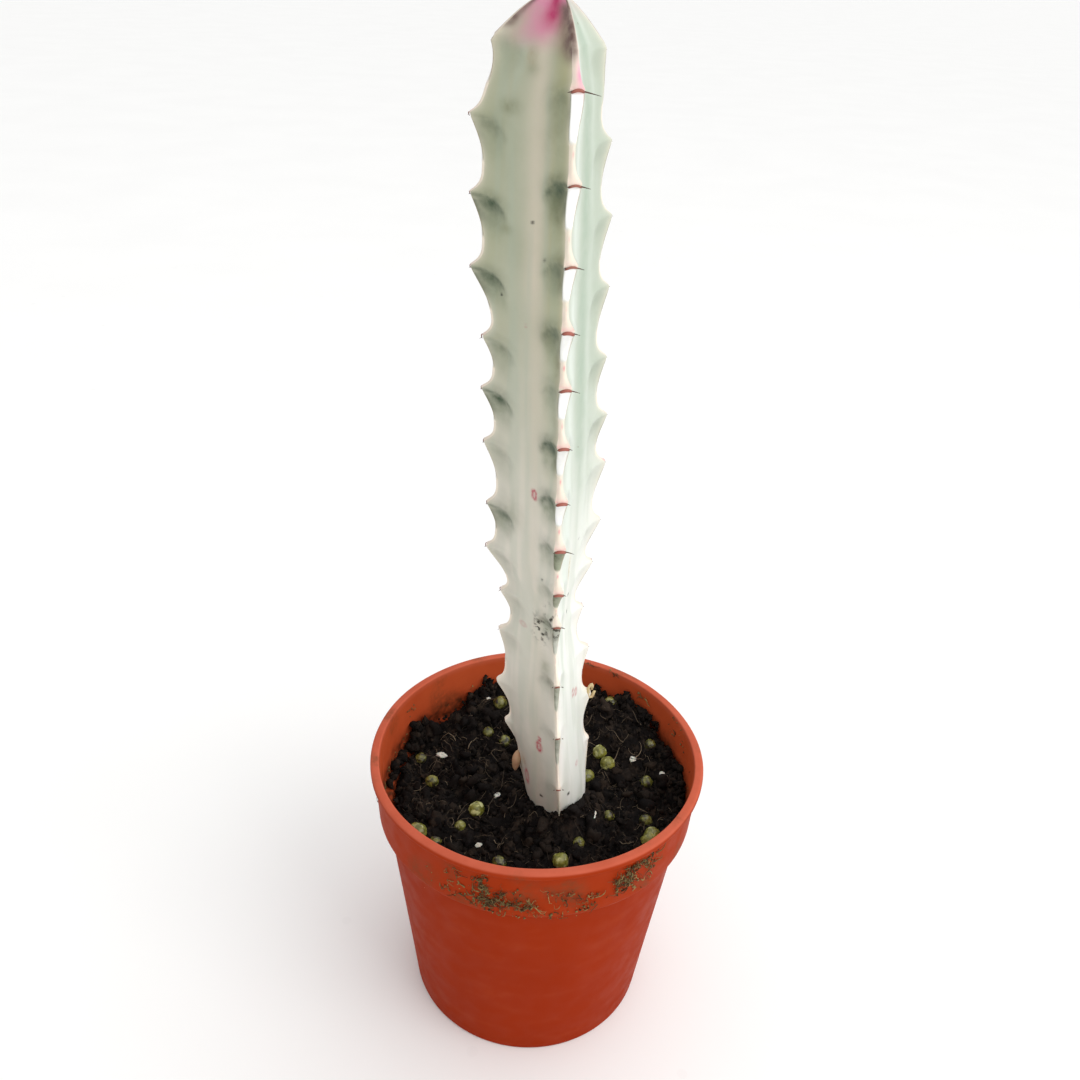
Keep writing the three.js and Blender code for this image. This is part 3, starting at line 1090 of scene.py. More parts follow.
@dataclass
class EuphorbiaStem:
    """The three-ribbed stem. Its sizes are the CAD stem's, in millimetres."""

    soil_level: float = 41.5
    height: float = 121.0
    rooted: float = 17.0
    rooted_taper: float = 0.8
    foot_x: float = 3.8
    foot_y: float = -4.2
    foot_radius: float = 5.0
    crown_radius: float = 10.1
    fill_out: float = 0.15
    crown_taper: float = 2.1
    crown_from: float = 0.9
    crown_to: float = 0.96
    lean: float = 7.8
    lean_spread: float = 0.6
    waist_depth: float = 1.5
    waist_level: float = 0.32
    waist_spread: float = 0.07
    tooth_depth: float = 1.6
    margin_tooth: float = 0.85
    margin_valley: float = 0.35
    margin_rounding: float = 0.4
    low_margin: float = 0.5
    valley: float = 0.38
    flank_upper: float = 3.5
    flank_under: float = 1.7
    teeth_start: float = 0.2
    fullness: float = 0.7
    fullness_fade: float = 0.12
    hollow: float = 0.09
    shoulder: float = 0.955
    shoulder_slope: float = 0.68
    front_slope: float = 0.55
    web: float = 1.5
    arch_width: float = 4.0
    arch_height: float = 3.0
    ring_spacing: float = 0.2
    margin_points: int = 11
    face_points: int = 44
    ribs: tuple[Rib, ...] = (
        Rib(
            -84,
            (
                Tooth(0.085, 0, 0.3, 0.55, 0.15, 0.25),
                Tooth(0.18, 0, 0.35, 0.7, 0.05, 0.2),
                Tooth(0.26, 0, 0.45, 0.75, 0.1, 0.3),
                Tooth(0.345, 0, 0.5, 0.6, 0.3, 0.5),
                Tooth(0.395, 0, 0.25, 0.9, 0.7, 0.4),
                Tooth(0.455, 0, 0.45, 1.0, 0.8, 1.2),
                Tooth(0.515, 0, 0.8, 0.1, 0.9, 0.5),
                Tooth(0.58, 0, 0.9, 0.15, 0.8, 0.5),
                Tooth(0.645, 0, 0.3, 0.0, 0.75, 1.1),
                Tooth(0.705, 0, 0.55, 0.1, 0.9, 0.8),
                Tooth(0.77, 0, 0.5, 0.0, 0.3, 0.9),
                Tooth(0.845, 0, 0.8, 0.0, 0.3, 1.1),
                Tooth(0.925, 0, 0.3, 0.0, 0.6, 1.9),
            ),
        ),
        Rib(
            36,
            (
                Tooth(0.1, -0.9),
                Tooth(0.175, -0.9),
                Tooth(0.25, -1.2),
                Tooth(0.315, -1.6),
                Tooth(0.375, -0.6, 0.3),
                Tooth(0.43, 0.1, 0.35),
                Tooth(0.505, 0.7, 0.3, 0.2, 1.0),
                Tooth(0.565, 0.8, 0.8),
                Tooth(0.635, 0.4, 0.6),
                Tooth(0.715, 0.5, 0.5),
                Tooth(0.79, 0.6, 0.35),
                Tooth(0.865, 0, 0.4),
                Tooth(0.95, 0.3, 0.2),
            ),
        ),
        Rib(
            156,
            (
                Tooth(0.07, -0.3, 0.1, 0.5),
                Tooth(0.13, 0.7, 0.12, 0.3),
                Tooth(0.195, 0.7, 0.1, 0.2),
                Tooth(0.28, 0.1, 0.15, 0.2),
                Tooth(0.34, -0.4, 0.1, 0.2),
                Tooth(0.4, 0.4, 0.2, 0.3),
                Tooth(0.46, -0.6, 0.85, 0.4),
                Tooth(0.54, -0.6, 0.3, 0.2),
                Tooth(0.605, -0.6, 1.0, 0.4),
                Tooth(0.665, -0.9, 0.5, 0.1, 0.4, 0.6),
                Tooth(0.74, 0.4, 1.0, 0.5),
                Tooth(0.815, 0.2, 1.0, 0.5),
                Tooth(0.89, 0.1, 0.5, 0.3),
                Tooth(0.96, -0.3, 0.2, 0.2, 0, 0),
            ),
        ),
    )
    spots: tuple[Spot, ...] = (
        Spot(2, 0.5, 0.62, 0.72, "ring_scar", 1.1),
        Spot(2, 0.135, 0.69, 0.7, "ring_scar", 1.4),
        Spot(2, 0.148, 0.7, 0.42, "ring_scar", 1.2),
        Spot(0, 0.205, 0.57, 0.5, "ring_scar", 1.5, 0.75),
        Spot(0, 0.2, 0.68, 0.5, "ring_scar", 1.5, 0.75),
        Spot(0, 0.095, 0.48, 0.4, "ring_scar", 1.3, 0.5),
        Spot(1, 0.33, 0.4, 0.7, "ring_scar", 1.2),
        Spot(1, 0.56, 0.6, 0.5, "ring_scar"),
        Spot(2, 0.715, 0.2, 0.22),
        Spot(2, 0.798, 0.59, 0.26, strength=0.8),
        Spot(2, 0.8, 0.74, 0.15, strength=0.8),
        Spot(2, 0.766, 0.76, 0.28, strength=0.6),
        Spot(2, 0.691, 0.48, 0.3, "ring_scar", 0.8, 0.35),
        Spot(2, 0.396, 0.78, 0.2, strength=0.8),
        Spot(0, 0.357, 0.48, 0.27),
        Spot(0, 0.33, 0.56, 0.24, tall=1.6),
        Spot(0, 0.426, 0.61, 0.18, strength=0.8),
        Spot(2, 0.051, 0.7, 0.32),
        Spot(0, 0.061, 0.18, 0.22, tall=2.2),
        Spot(0, 0.92, 0.3, 0.2, strength=0.6),
        Spot(1, 0.62, 0.3, 0.25),
        Spot(1, 0.25, 0.6, 0.3),
        Spot(0, 0.4, 0.39, 0.3, "scratch", 7.0, 0.8),
        Spot(2, 0.317, 0.69, 1.5, "crust", 1.2),
        Spot(2, 0.347, 0.93, 1.2, "crust", 1.3),
        Spot(2, 0.305, 0.3, 0.9, "ring_scar", 0.5, 0.35),
        Spot(2, 0.823, 0.9, 2.0, "olive_patch_and_edge_shadow", 1.7, 0.9),
        Spot(2, 0.76, 0.96, 1.2, "olive_patch_and_edge_shadow", 2.0, 1.0),
        Spot(2, 0.88, 0.85, 2.4, "olive_patch_and_edge_shadow", 1.4, 0.4),
        Spot(2, 0.69, 0.8, 2.0, "olive_patch_and_edge_shadow", 0.9, 0.55),
        Spot(2, 0.665, 0.97, 1.0, "olive_patch_and_edge_shadow", 1.8, 1.0),
        Spot(2, 0.6, 0.95, 1.0, "olive_patch_and_edge_shadow", 2.0, 0.4),
        Spot(2, 0.552, 0.97, 0.8, "olive_patch_and_edge_shadow", 1.6, 0.9),
        Spot(2, 0.785, 0.28, 0.9, "olive_patch_and_edge_shadow", 0.8, 0.45),
        Spot(2, 0.935, 0.5, 1.0, "olive_patch_and_edge_shadow", 0.7, 0.35),
        Spot(2, 0.945, 0.46, 0.8, "dry_brown", 1.2, 0.3),
        Spot(2, 0.9, 0.3, 1.8, "olive_patch_and_edge_shadow", 0.5, 0.6),
        Spot(2, 0.268, 0.82, 1.3, "olive_patch_and_edge_shadow", 1.3, 0.55),
        Spot(2, 0.083, 0.27, 0.7, "dry_brown", 1.4, 0.5),
        Spot(2, 0.062, 0.34, 0.7, "ring_scar", 2.2, 0.8),
        Spot(2, 0.46, 0.25, 2.6, "olive_patch_and_edge_shadow", 1.0, 0.3),
        Spot(1, 0.7, 0.5, 2.4, "olive_patch_and_edge_shadow", 1.5, 0.5),
        Spot(1, 0.4, 0.4, 2.2, "olive_patch_and_edge_shadow", 1.3, 0.4),
    )

    def rib_radius(self, level: np.ndarray) -> np.ndarray:
        """Axis to rib crest at a level, before the teeth."""
        level = np.maximum(level, 0)
        missing = (self.crown_radius - self.foot_radius) * np.exp(-level / self.fill_out)
        waist = self.waist_depth * hump(level, self.waist_level, self.waist_spread)
        taper = self.crown_taper * smooth(level, self.crown_from, self.crown_to)
        return self.crown_radius - missing - waist - taper

    def axis(self, level: np.ndarray) -> np.ndarray:
        """The stem's middle line at each level."""
        level = np.asarray(level, float)
        lean = self.lean * (np.exp(-np.maximum(level, 0) / self.lean_spread) - 1)
        buried = self.soil_level + level * self.rooted
        z = np.where(level < 0, buried, self.soil_level + level * self.height)
        return np.stack([self.foot_x + lean, np.full_like(level, self.foot_y), z], axis=-1)

    def levels(self) -> tuple[np.ndarray, np.ndarray]:
        """Every ring's level and size, from the buried end to the tip."""
        buried = np.linspace(-1, 0, 30)[:-1]
        steps = int(self.shoulder * self.height / self.ring_spacing)
        shown = np.linspace(0, self.shoulder, steps)
        step = 1 - (1 - np.linspace(0, 0.995, 34)[1:]) ** 1.6
        foot = 1 + buried * (1 - self.rooted_taper)
        foot[:5] *= np.sqrt(1 - (1 - np.linspace(0.12, 1, 5)) ** 2)
        tip = self.shoulder + (1 - self.shoulder) * step
        size = np.concatenate([foot, np.ones(steps), (1 - step) ** self.shoulder_slope])
        return np.concatenate([buried, shown, tip]), size

    def skin(self) -> Skin:
        """The whole stem's skin, with the marks that its finish reads."""
        level, size = self.levels()
        crest = self.rib_radius(level) * size
        depth = self.tooth_depth * size * smooth(level, 0, self.teeth_start)
        full = self.fullness * np.exp(-np.maximum(level, 0) / self.fullness_fade) - self.hollow
        edges = [
            RibEdge(self, rib, level, size, crest, depth)
            for rib in self.ribs
        ]
        u = np.linspace(-1, 1, self.margin_points)
        s = 0.5 - 0.5 * np.cos(np.linspace(0, math.pi, self.face_points + 2)[1:-1])
        strips = []
        for index, edge in enumerate(edges):
            face = RibFace(self, index, edge, edges[(index + 1) % 3], full * crest)
            strips += [edge.strip(u), face.strip(s)]
        rings = np.concatenate([points for points, _ in strips], axis=1)
        marks = {k: np.concatenate([m[k] for _, m in strips], axis=1) for k in strips[0][1]}
        flat = rings.reshape(-1, 3)
        shape = rings.shape[:2]
        ripple = 0.09 * wander(flat * (1, 1, 0.5), 4.5, 2.0, 2).reshape(shape)
        outward = rings - self.axis(level)[:, None]
        outward[..., 2] = 0
        outward /= np.maximum(np.linalg.norm(outward, axis=-1, keepdims=True), 1e-6)
        rings = rings + outward * (ripple * smooth(size, 0.0, 0.6)[:, None])[..., None]
        streaks = wander(flat * (1, 1, 0.05), 1.9, 6.0, 3).reshape(shape)
        marks["streak"] = smooth(streaks, -0.15, 0.45)
        self._weather(marks, flat, np.repeat(level[:, None], shape[1], axis=1))
        return lofted(rings, marks)

    def _weather(self, marks: dict, flat: np.ndarray, level: np.ndarray) -> None:
        """Adds the crusty patch and the algae at the foot."""
        rough = wander(flat, 3.0, 5.0, 3).reshape(level.shape)
        fleck = smooth(wander(flat, 0.8, 9.0, 3).reshape(level.shape), 0.05, 0.3)
        foot = (1 - smooth(level - 0.006 * rough, 0.0, 0.03)) * smooth(level, -0.1, 0.0)
        marks["foot_algae"] = foot * (0.2 + fleck)
        marks["crust"] = marks["crust"] * fleck * 1.6

    def tips(self, rib: Rib) -> np.ndarray:
        """The point of each of a rib's teeth."""
        level = np.array([tooth.level for tooth in rib.teeth])
        stand = np.array([tooth.stand for tooth in rib.teeth]) * smooth(level, 0, self.teeth_start)
        reach = self.rib_radius(level) + stand
        return self.axis(level) + rib.out(level) * reach[:, None]

    def spines(self) -> Skin:
        """A horny shield across every tooth, with a short spine at each end."""
        rng = np.random.default_rng(11)
        skins = []
        for index, rib in enumerate(self.ribs):
            bold = 1.0 if index == 0 else 0.45
            for tip, tooth in zip(self.tips(rib), rib.teeth):
                level = np.array(tooth.level)
                out, side = rib.out(level), rib.side(level)
                tilt = rng.normal()
                if tooth.level > self.shoulder:
                    continue
                skins.append(self._shield(tip, out, side, tooth, bold, tilt))
                for end, reach in ((1.0, tooth.spine), (-1.0, 0.25 * tooth.spine + 0.1)):
                    length = reach * (0.6 + 0.4 * bold)
                    skins.append(self._spine(tip, out, side * end, length, bold))
        skins += self._keepsakes()
        return joined(skins)

    def _shield(
        self,
        tip: np.ndarray,
        out: np.ndarray,
        side: np.ndarray,
        tooth: Tooth,
        bold: float,
        tilt: float,
    ) -> Skin:
        """The horny bar across a tooth.

        Args:
            tip: The tooth's point.
            out: The direction the rib stands out in.
            side: The direction across the rib.
            tooth: The tooth.
            bold: Size beside the front rib's.
            tilt: How much it tilts, about -1 to 1.

        Returns:
            The bar's skin.
        """
        spread = np.linspace(-1, 1, 15)
        half = 0.78 * (0.7 + 0.3 * bold) * (0.45 + 0.55 * smooth(tooth.level, 0.24, 0.46))
        sag = UP * (-0.06 - 0.3 * spread**2 + 0.05 * tilt * spread)[:, None]
        path = tip + side * (half * spread)[:, None] + out * (0.02 - 0.3 * spread**2)[:, None] + sag
        thick = bold * (0.04 + (0.07 + 0.13 * tooth.rosy) * np.sqrt(np.clip(1 - spread**4, 0, 1)))
        skin = tube(path, thick, 12, 0.25 + 0.5 * np.abs(spread) ** 3)
        skin.marks["rosy"] = np.full(len(skin.points), tooth.rosy)
        skin.marks["cream"] = np.zeros(len(skin.points))
        return skin

    def _spine(
        self, tip: np.ndarray, out: np.ndarray, side: np.ndarray, reach: float, bold: float
    ) -> Skin:
        """One dark spine, drawn out to a point from the end of the shield.

        Args:
            tip: The tooth's point.
            out: The direction the rib stands out in.
            side: The direction that the spine points in.
            reach: Its length, in millimetres.
            bold: Size beside the front rib's.

        Returns:
            The spine's skin.
        """
        t = np.linspace(0, 1, 9)
        start = tip + side * 0.62 - out * 0.18
        path = start + side * (reach * t)[:, None] + out * (0.25 * reach * t * t)[:, None]
        path = path + UP * (-0.22 * reach * t - 0.18)[:, None]
        skin = tube(path, bold * 0.085 * (1 - 0.85 * t) + 0.01, 8, 0.7 + 0.3 * t)
        skin.marks["rosy"] = np.zeros(len(skin.points))
        skin.marks["cream"] = np.zeros(len(skin.points))
        return skin

    def _keepsakes(self) -> list[Skin]:
        """The dried loop on the right rib and the dried bud at the left of the foot."""
        skins = []
        level = np.array(0.176)
        rib = self.ribs[1]
        middle = self.axis(level) + rib.out(level) * (float(self.rib_radius(level)) - 1.0)
        turn = np.linspace(0, 1.95 * math.pi, 28)
        ring = (
            middle
            + rib.out(level) * (0.55 * np.cos(turn) - 0.1)[:, None]
            + UP * (1.05 * np.sin(turn))[:, None]
            - rib.side(level) * (0.35 + 0.08 * turn)[:, None]
        )
        skins.append(tube(ring, 0.26 - 0.05 * np.cos(turn * 3), 9, 0.1 + 0.1 * np.sin(5 * turn)))
        level = np.array(0.074)
        rib = self.ribs[2]
        root = self.axis(level) + rib.out(level) * (float(self.rib_radius(level)) - 0.9)
        t = np.linspace(0, 1, 14)
        bud = root + UP * (1.5 - 3.6 * t)[:, None] + rib.side(level) * (1.2 + 0.9 * t)[:, None]
        girth = 0.15 + 0.75 * np.sin(math.pi * t) ** 0.8 * (1 - 0.4 * t)
        skins.append(tube(bud, girth, 12, 0.45 * t))
        for skin, cream, rosy in zip(skins, (1.0, 0.5), (0.0, 0.5)):
            skin.points = skin.points + 0.12 * wander(skin.points, 0.8, 3.0, 2)[:, None]
            skin.marks["rosy"] = np.full(len(skin.points), rosy)
            skin.marks["cream"] = np.full(len(skin.points), cream)
        return skins

    def build(self, effects: Effects) -> list[bpy.types.Object]:
        """Builds the stem and its spines.

        Args:
            effects: The shared shader groups.

        Returns:
            The stem and the spines.
        """
        stem = self.skin().to_object("euphorbia_stem", STEM_SKIN.make(effects))
        seat(stem, Slot.STEM, "stem")
        spines = self.spines().to_object("stem_spines", SPINE_HORN.make(effects))
        seat(spines, Slot.STEM)
        return [stem, spines]


def blank_marks(rings: int, count: int) -> dict[str, np.ndarray]:
    """Every mark that the stem's finish reads, at nought."""
    return {wash.mark: np.zeros((rings, count)) for wash in STEM_SKIN.washes}


class RibEdge:
    """One rib's narrow edge, ring by ring."""

    def __init__(
        self,
        stem: EuphorbiaStem,
        rib: Rib,
        level: np.ndarray,
        size: np.ndarray,
        crest: np.ndarray,
        depth: np.ndarray,
    ) -> None:
        """Follows the rib up the stem.

        Args:
            stem: The stem.
            rib: The rib.
            level: Each ring's level.
            size: Each ring's size.
            crest: Axis to the even outline at each ring.
            depth: Depth of the scallops at each ring.
        """
        self.stem, self.rib, self.level, self.size = stem, rib, level, size
        self.axis, self.out, self.side = stem.axis(level), rib.out(level), rib.side(level)
        self.course = rib.course(level, stem.valley, stem.flank_upper, stem.flank_under)
        near, under = self.course.closeness, self.course.beneath
        widening = near ** np.where(under > 0, 0.6, 4.0)
        spread = stem.margin_valley + (stem.margin_tooth - stem.margin_valley) * widening
        self.margin, self.slim = spread * size, stem.margin_valley * size
        if rib is stem.ribs[0]:
            narrowing = stem.low_margin + (1 - stem.low_margin) * smooth(level, 0.24, 0.46)
            self.margin, self.slim = self.margin * narrowing, self.slim * narrowing
            crest = crest * np.maximum(size, 1e-6) ** (stem.front_slope - 1)
        self.floor = crest - depth + self.course.stand * depth / stem.tooth_depth
        self.reach = self.floor + depth * (1 - self.course.depth)

    def at(self, reach: np.ndarray, shift: np.ndarray) -> np.ndarray:
        """The point at a reach along the rib's direction and a shift across it."""
        return self.axis + self.out * reach[:, None] + self.side * shift[:, None]

    def strip(self, u: np.ndarray) -> tuple[np.ndarray, dict[str, np.ndarray]]:
        """The edge's points and marks, at the places u across it (-1 to 1)."""
        near = self.course.closeness
        beneath = self.course.beneath * smooth(near, 0.02, 0.4)
        drop = self.stem.margin_rounding * self.size[:, None] * np.abs(u) ** 2.4
        sunk = (0.2 * beneath * self.size)[:, None] * (1 - u**2)
        out = self.reach[:, None] - drop - sunk
        points = (
            self.axis[:, None]
            + self.out[:, None] * out[..., None]
            + self.side[:, None] * (self.margin[:, None] * u)[..., None]
        )
        marks = blank_marks(len(self.level), len(u))
        ones = np.ones_like(out)
        # shade: each tooth's strength of painted shadow on its underside
        shade = self.rib.of_tooth("shade", self.level)[:, None]
        inner = smooth(1 - np.abs(u), 0.0, 0.25)
        wedge = self.course.beneath * smooth(near, 0.02, 0.14) * (1 - smooth(near, 0.9, 0.99))
        wedge = wedge[:, None]
        # pale skin under the teeth whose shade is low, painted pure white as a blown highlight
        marks["pale_underside_glare"] = wedge * (1 - shade) * inner
        # painted shadow under the teeth whose shade is high, darkest near the tooth and on the left
        fade = 0.55 + 0.45 * smooth(near, 0.2, 0.9)[:, None]
        marks["painted_underside_shadow"] = wedge * shade * fade * (0.75 - 0.25 * u)
        if self.rib is self.stem.ribs[0]:
            marks["crust"] = hump(self.level, 0.336, 0.014)[:, None] * ones
        # painted shadow along the left edge of the wedge under each tooth
        left_edge_shadow = hump(u, -0.95, 0.22) * wedge * (1 - 0.4 * shade)
        marks["olive_patch_and_edge_shadow"] = left_edge_shadow * 0.9
        marks["dry_brown"] = hump(u, 0.95, 0.16) * wedge * 0.5
        shown = 0.35 + 0.65 * smooth(self.level, 0.03, 0.1)[:, None]
        marks["cream_flank"] = (1 - wedge) * shown * ones
        rosy = self.rib.of_tooth("rosy", self.level - 0.012)[:, None]
        flank = ((1 - self.course.beneath) * smooth(near, 0.1, 0.9))[:, None]
        speck = self._specks()[:, None] * hump(u, 0.1, 0.35)
        blush = 0.12 + 0.5 * smooth(near, 0.8, 1.0)[:, None]
        marks["pink_tooth"] = rosy * (blush * flank + speck)
        high = smooth(self.level, 0.94, 0.962)[:, None] * ones
        front = 1.0 if self.rib is self.stem.ribs[0] else 0.7
        marks["tip_mauve"] = high * front * (1 - 0.75 * smooth(u, 0.1, 0.9))
        blush = hump(self.level, 0.935, 0.012)[:, None] * smooth(u, -0.9, 0.6)
        marks["tip_pink"] = blush * (0.9 if front == 1.0 else 0.1)
        return points, marks

    def _specks(self) -> np.ndarray:
        """A small speck half-way down each flank above a tooth."""
        specks = np.zeros_like(self.level)
        for lower, upper in zip(self.rib.teeth, self.rib.teeth[1:]):
            place = lower.level + 0.3 * (upper.level - lower.level)
            specks = np.maximum(specks, hump(self.level, place, 0.003))
        return specks


class RibFace:
    """One broad face between two ribs."""

    def __init__(
        self,
        stem: EuphorbiaStem,
        index: int,
        here: RibEdge,
        following: RibEdge,
        full: np.ndarray,
    ) -> None:
        """Keeps the face's two edges.

        Args:
            stem: The stem.
            index: The face's number, the same as its first rib's.
            here: The rib that it starts at.
            following: The rib that it ends at.
            full: How far it bulges at each ring, in millimetres.
        """
        self.stem, self.index = stem, index
        self.here, self.following, self.full = here, following, full
        self.level, self.size = here.level, here.size

    def strip(self, s: np.ndarray) -> tuple[np.ndarray, dict[str, np.ndarray]]:
        """The face's points and marks, at the places s across it (0 to 1)."""
        here, following = self.here, self.following
        start = here.at(here.floor, here.slim)
        end = following.at(following.floor, -following.slim)
        across = end - start
        length = np.linalg.norm(across, axis=1)[:, None]
        outward = here.out + following.out
        outward = (outward / np.linalg.norm(outward, axis=1, keepdims=True))[:, None]
        near, far = s * length, (1 - s) * length
        bulge = (self.full * 0.5)[:, None] * (1 - (2 * s - 1) ** 2)
        relief = np.zeros_like(near)
        marks = blank_marks(len(self.level), len(s))
        for edge, away, gain in ((here, near, 0.7), (following, far, 1.0)):
            for tooth in edge.rib.teeth:
                relief += self._arch(marks, tooth, away, gain)
        points = start[:, None] + across[:, None] * s[:, None]
        points = points + outward * (bulge + relief * self.size[:, None])[..., None]
        web = self.stem.web * (0.4 + 0.6 * self.size[:, None])
        web = web * (0.4 + 0.6 * smooth(self.level, 0.1, 0.4)[:, None])
        for edge, away, way in ((here, near, 1), (following, far, -1)):
            rise = edge.reach - self.stem.margin_rounding * self.size - edge.floor
            pull = edge.out * rise[:, None] + edge.side * (way * (edge.margin - edge.slim))[:, None]
            points = points + pull[:, None] * np.exp(-away / web)[..., None]
        self._light(marks, s, near, far)
        self._tip(marks, s, far)
        for spot in self.stem.spots:
            if spot.face == self.index:
                self._spot(marks, spot, s, length)
        return points, marks

    def _arch(self, marks: dict, tooth: Tooth, away: np.ndarray, gain: float) -> np.ndarray:
        """Adds the green arch that sweeps in and down from a tooth.

        Args:
            marks: The face's marks.
            tooth: The tooth.
            away: Distance from the tooth's rib, in millimetres.
            gain: Strength on this side of the rib.

        Returns:
            The relief: a dimple under the arch, in millimetres.
        """
        wide, tall = self.stem.arch_width, self.stem.arch_height
        below = (tooth.level - self.level)[:, None] * self.stem.height
        rise = np.clip(tall - below, 0, None) / tall
        round_it = np.sqrt((away / wide) ** 2 + rise**2)
        band = np.exp(-(((round_it - 0.93) * wide / 0.62) ** 2))
        band = band * smooth(below, -0.7, 0.1) * (1 - smooth(below, 1.2, 3.6))
        heart = np.exp(-(((away - 1.7) / 1.7) ** 2)) * hump(below, 1.1, 1.2)
        edge = np.exp(-away / 0.7) * smooth(below, 0.2, 1.0) * (1 - smooth(below, 2.4, 5.0))
        sunny = 0.22 if self.index == 0 else 1.0
        tone = tooth.green * gain * sunny
        inside = 1 - smooth(round_it, 0.7, 1.05)
        start = smooth(self.level, 0.14, 0.34)[:, None]
        fill = inside * smooth(below, -0.2, 0.8) * (1 - smooth(below, 2.2, 6.5))
        line = tone * np.maximum(np.maximum(band, 1.2 * heart), 1.1 * edge) * (0.4 + 0.6 * start)
        marks["green_arch"][:] = np.maximum(marks["green_arch"], line)
        soft = start * (0.2 * gain * sunny + 0.8 * tone) * fill
        marks["green_inside"][:] = np.maximum(marks["green_inside"], soft)
        dimple = hump(away, 1.7, 1.4) * hump(below, 2.3, 1.8)
        ridge = hump(round_it, 1.12, 0.16) * smooth(below, -1.2, 0.2)
        ridge = ridge * (1 - smooth(below, 1.5, 4.0))
        return start * (0.35 + 0.65 * tooth.green) * (0.22 * ridge - 0.5 * dimple)

    def _light(self, marks: dict, s: np.ndarray, near: np.ndarray, far: np.ndarray) -> None:
        """Adds the broad colours: mint on the sunny face, grey-olive and beige on the others, with
        painted shadow low on the others near the soil.
        """
        level = self.level[:, None]
        ones = np.ones_like(near)
        edge = np.minimum(near, far)
        if self.index == 0:
            marks["sunny_face"] = ones
            marks["sunny_low"] = (1 - smooth(level, 0.3, 0.68)) * ones
            strip = hump(s, 0.2, 0.13) * smooth(level, 0.1, 0.4)
            strip = strip + 0.7 * hump(s, 0.42, 0.22) * (1 - smooth(level, 0.1, 0.4))
            marks["sunny_stripe"] = np.clip(strip + 0.35 * hump(s, 0.72, 0.08), 0, 1)
            marks["mint_strip"] = hump(s, 0.55, 0.16) * smooth(level, 0.4, 0.6)
        else:
            high = smooth(level, 0.42, 0.78)
            marks["pale_stripe"] = hump(s, 0.62, 0.13) * (0.35 + 0.65 * high)
            marks["olive_side"] = high * (smooth(s, 0.62, 0.95) + 0.3 * (1 - smooth(s, 0.1, 0.35)))
            marks["lower_beige"] = (1 - smooth(level, 0.4, 0.78)) * ones
            shade = 0.5 * (1 - smooth(s, 0.05, 0.3)) + 0.35 * smooth(s, 0.8, 0.97)
            # painted shadow: the two other faces greyed low down, near the soil
            painted_foot_shadow = 0.75 * (1 - smooth(level, 0.12, 0.3))
            marks["grey_sides_and_foot_shadow"] = np.maximum(shade, painted_foot_shadow) * (1 - high)
        marks["cream_flank"] = 0.55 * np.exp(-(edge / 0.45)) * (1 - marks["green_arch"]) * ones

    def _tip(self, marks: dict, s: np.ndarray, far: np.ndarray) -> None:
        """Adds the growing tip's pink and mauve."""
        level = self.level[:, None]
        front = 1.0 if self.index == 2 else 0.4
        wide = 0.32 + 0.5 * smooth(level, 0.97, 1.0)
        blush = np.exp(-(((s - 0.5) / wide) ** 2)) * smooth(level, 0.945, 0.972)
        marks["tip_pink"] = front * np.clip(blush + 0.7 * smooth(level, 0.985, 0.998), 0, 1)
        marks["tip_deep"] = front * hump(s, 0.66, 0.2) * smooth(level, 0.962, 0.982)
        strip = np.exp(-((far / 1.5) ** 2)) * smooth(level, 0.938, 0.955)
        strip = strip * (1 - smooth(level, 0.985, 0.995))
        cap = hump(s, 0.03, 0.07) * smooth(level, 0.963, 0.972)
        marks["tip_mauve"] = np.clip(front * strip + 0.8 * cap, 0, 1)
        if self.index == 0:
            marks["tip_pink"] = 0.25 * smooth(level, 0.97, 1.0) * np.ones_like(far)
            marks["tip_mauve"] = np.zeros_like(far)
            marks["tip_deep"] = np.zeros_like(far)

    def _spot(self, marks: dict, spot: Spot, s: np.ndarray, length: np.ndarray) -> None:
        """Adds a spot to the face's marks."""
        up = (self.level - spot.level)[:, None] * self.stem.height / spot.tall
        side = (s - spot.across) * length
        away = np.sqrt(up**2 + side**2) / spot.size
        if spot.kind == "ring_scar":
            shape = np.maximum(hump(away, 0.75, 0.32), 0.3 * hump(away, 0.0, 0.5))
        elif spot.kind == "black_dot":
            shape = 1 - smooth(away, 0.6, 1.1)
        else:
            shape = np.exp(-(away**2))
        marks[spot.kind] = np.maximum(marks[spot.kind], spot.strength * shape)


# ---------------------------------------------------------------- soil


@dataclass(frozen=True)
class Mound:
    """A mound or hollow of the soil: place in shares of its radius, height and spread."""

    x: float
    y: float
    height: float
    spread: float


@dataclass(frozen=True)
class Clump:
    """Peat that clings to the wall: azimuth and spread in degrees, then millimetres."""

    azimuth: float
    wide: float
    low: float
    high: float
    reach: float
    count: int


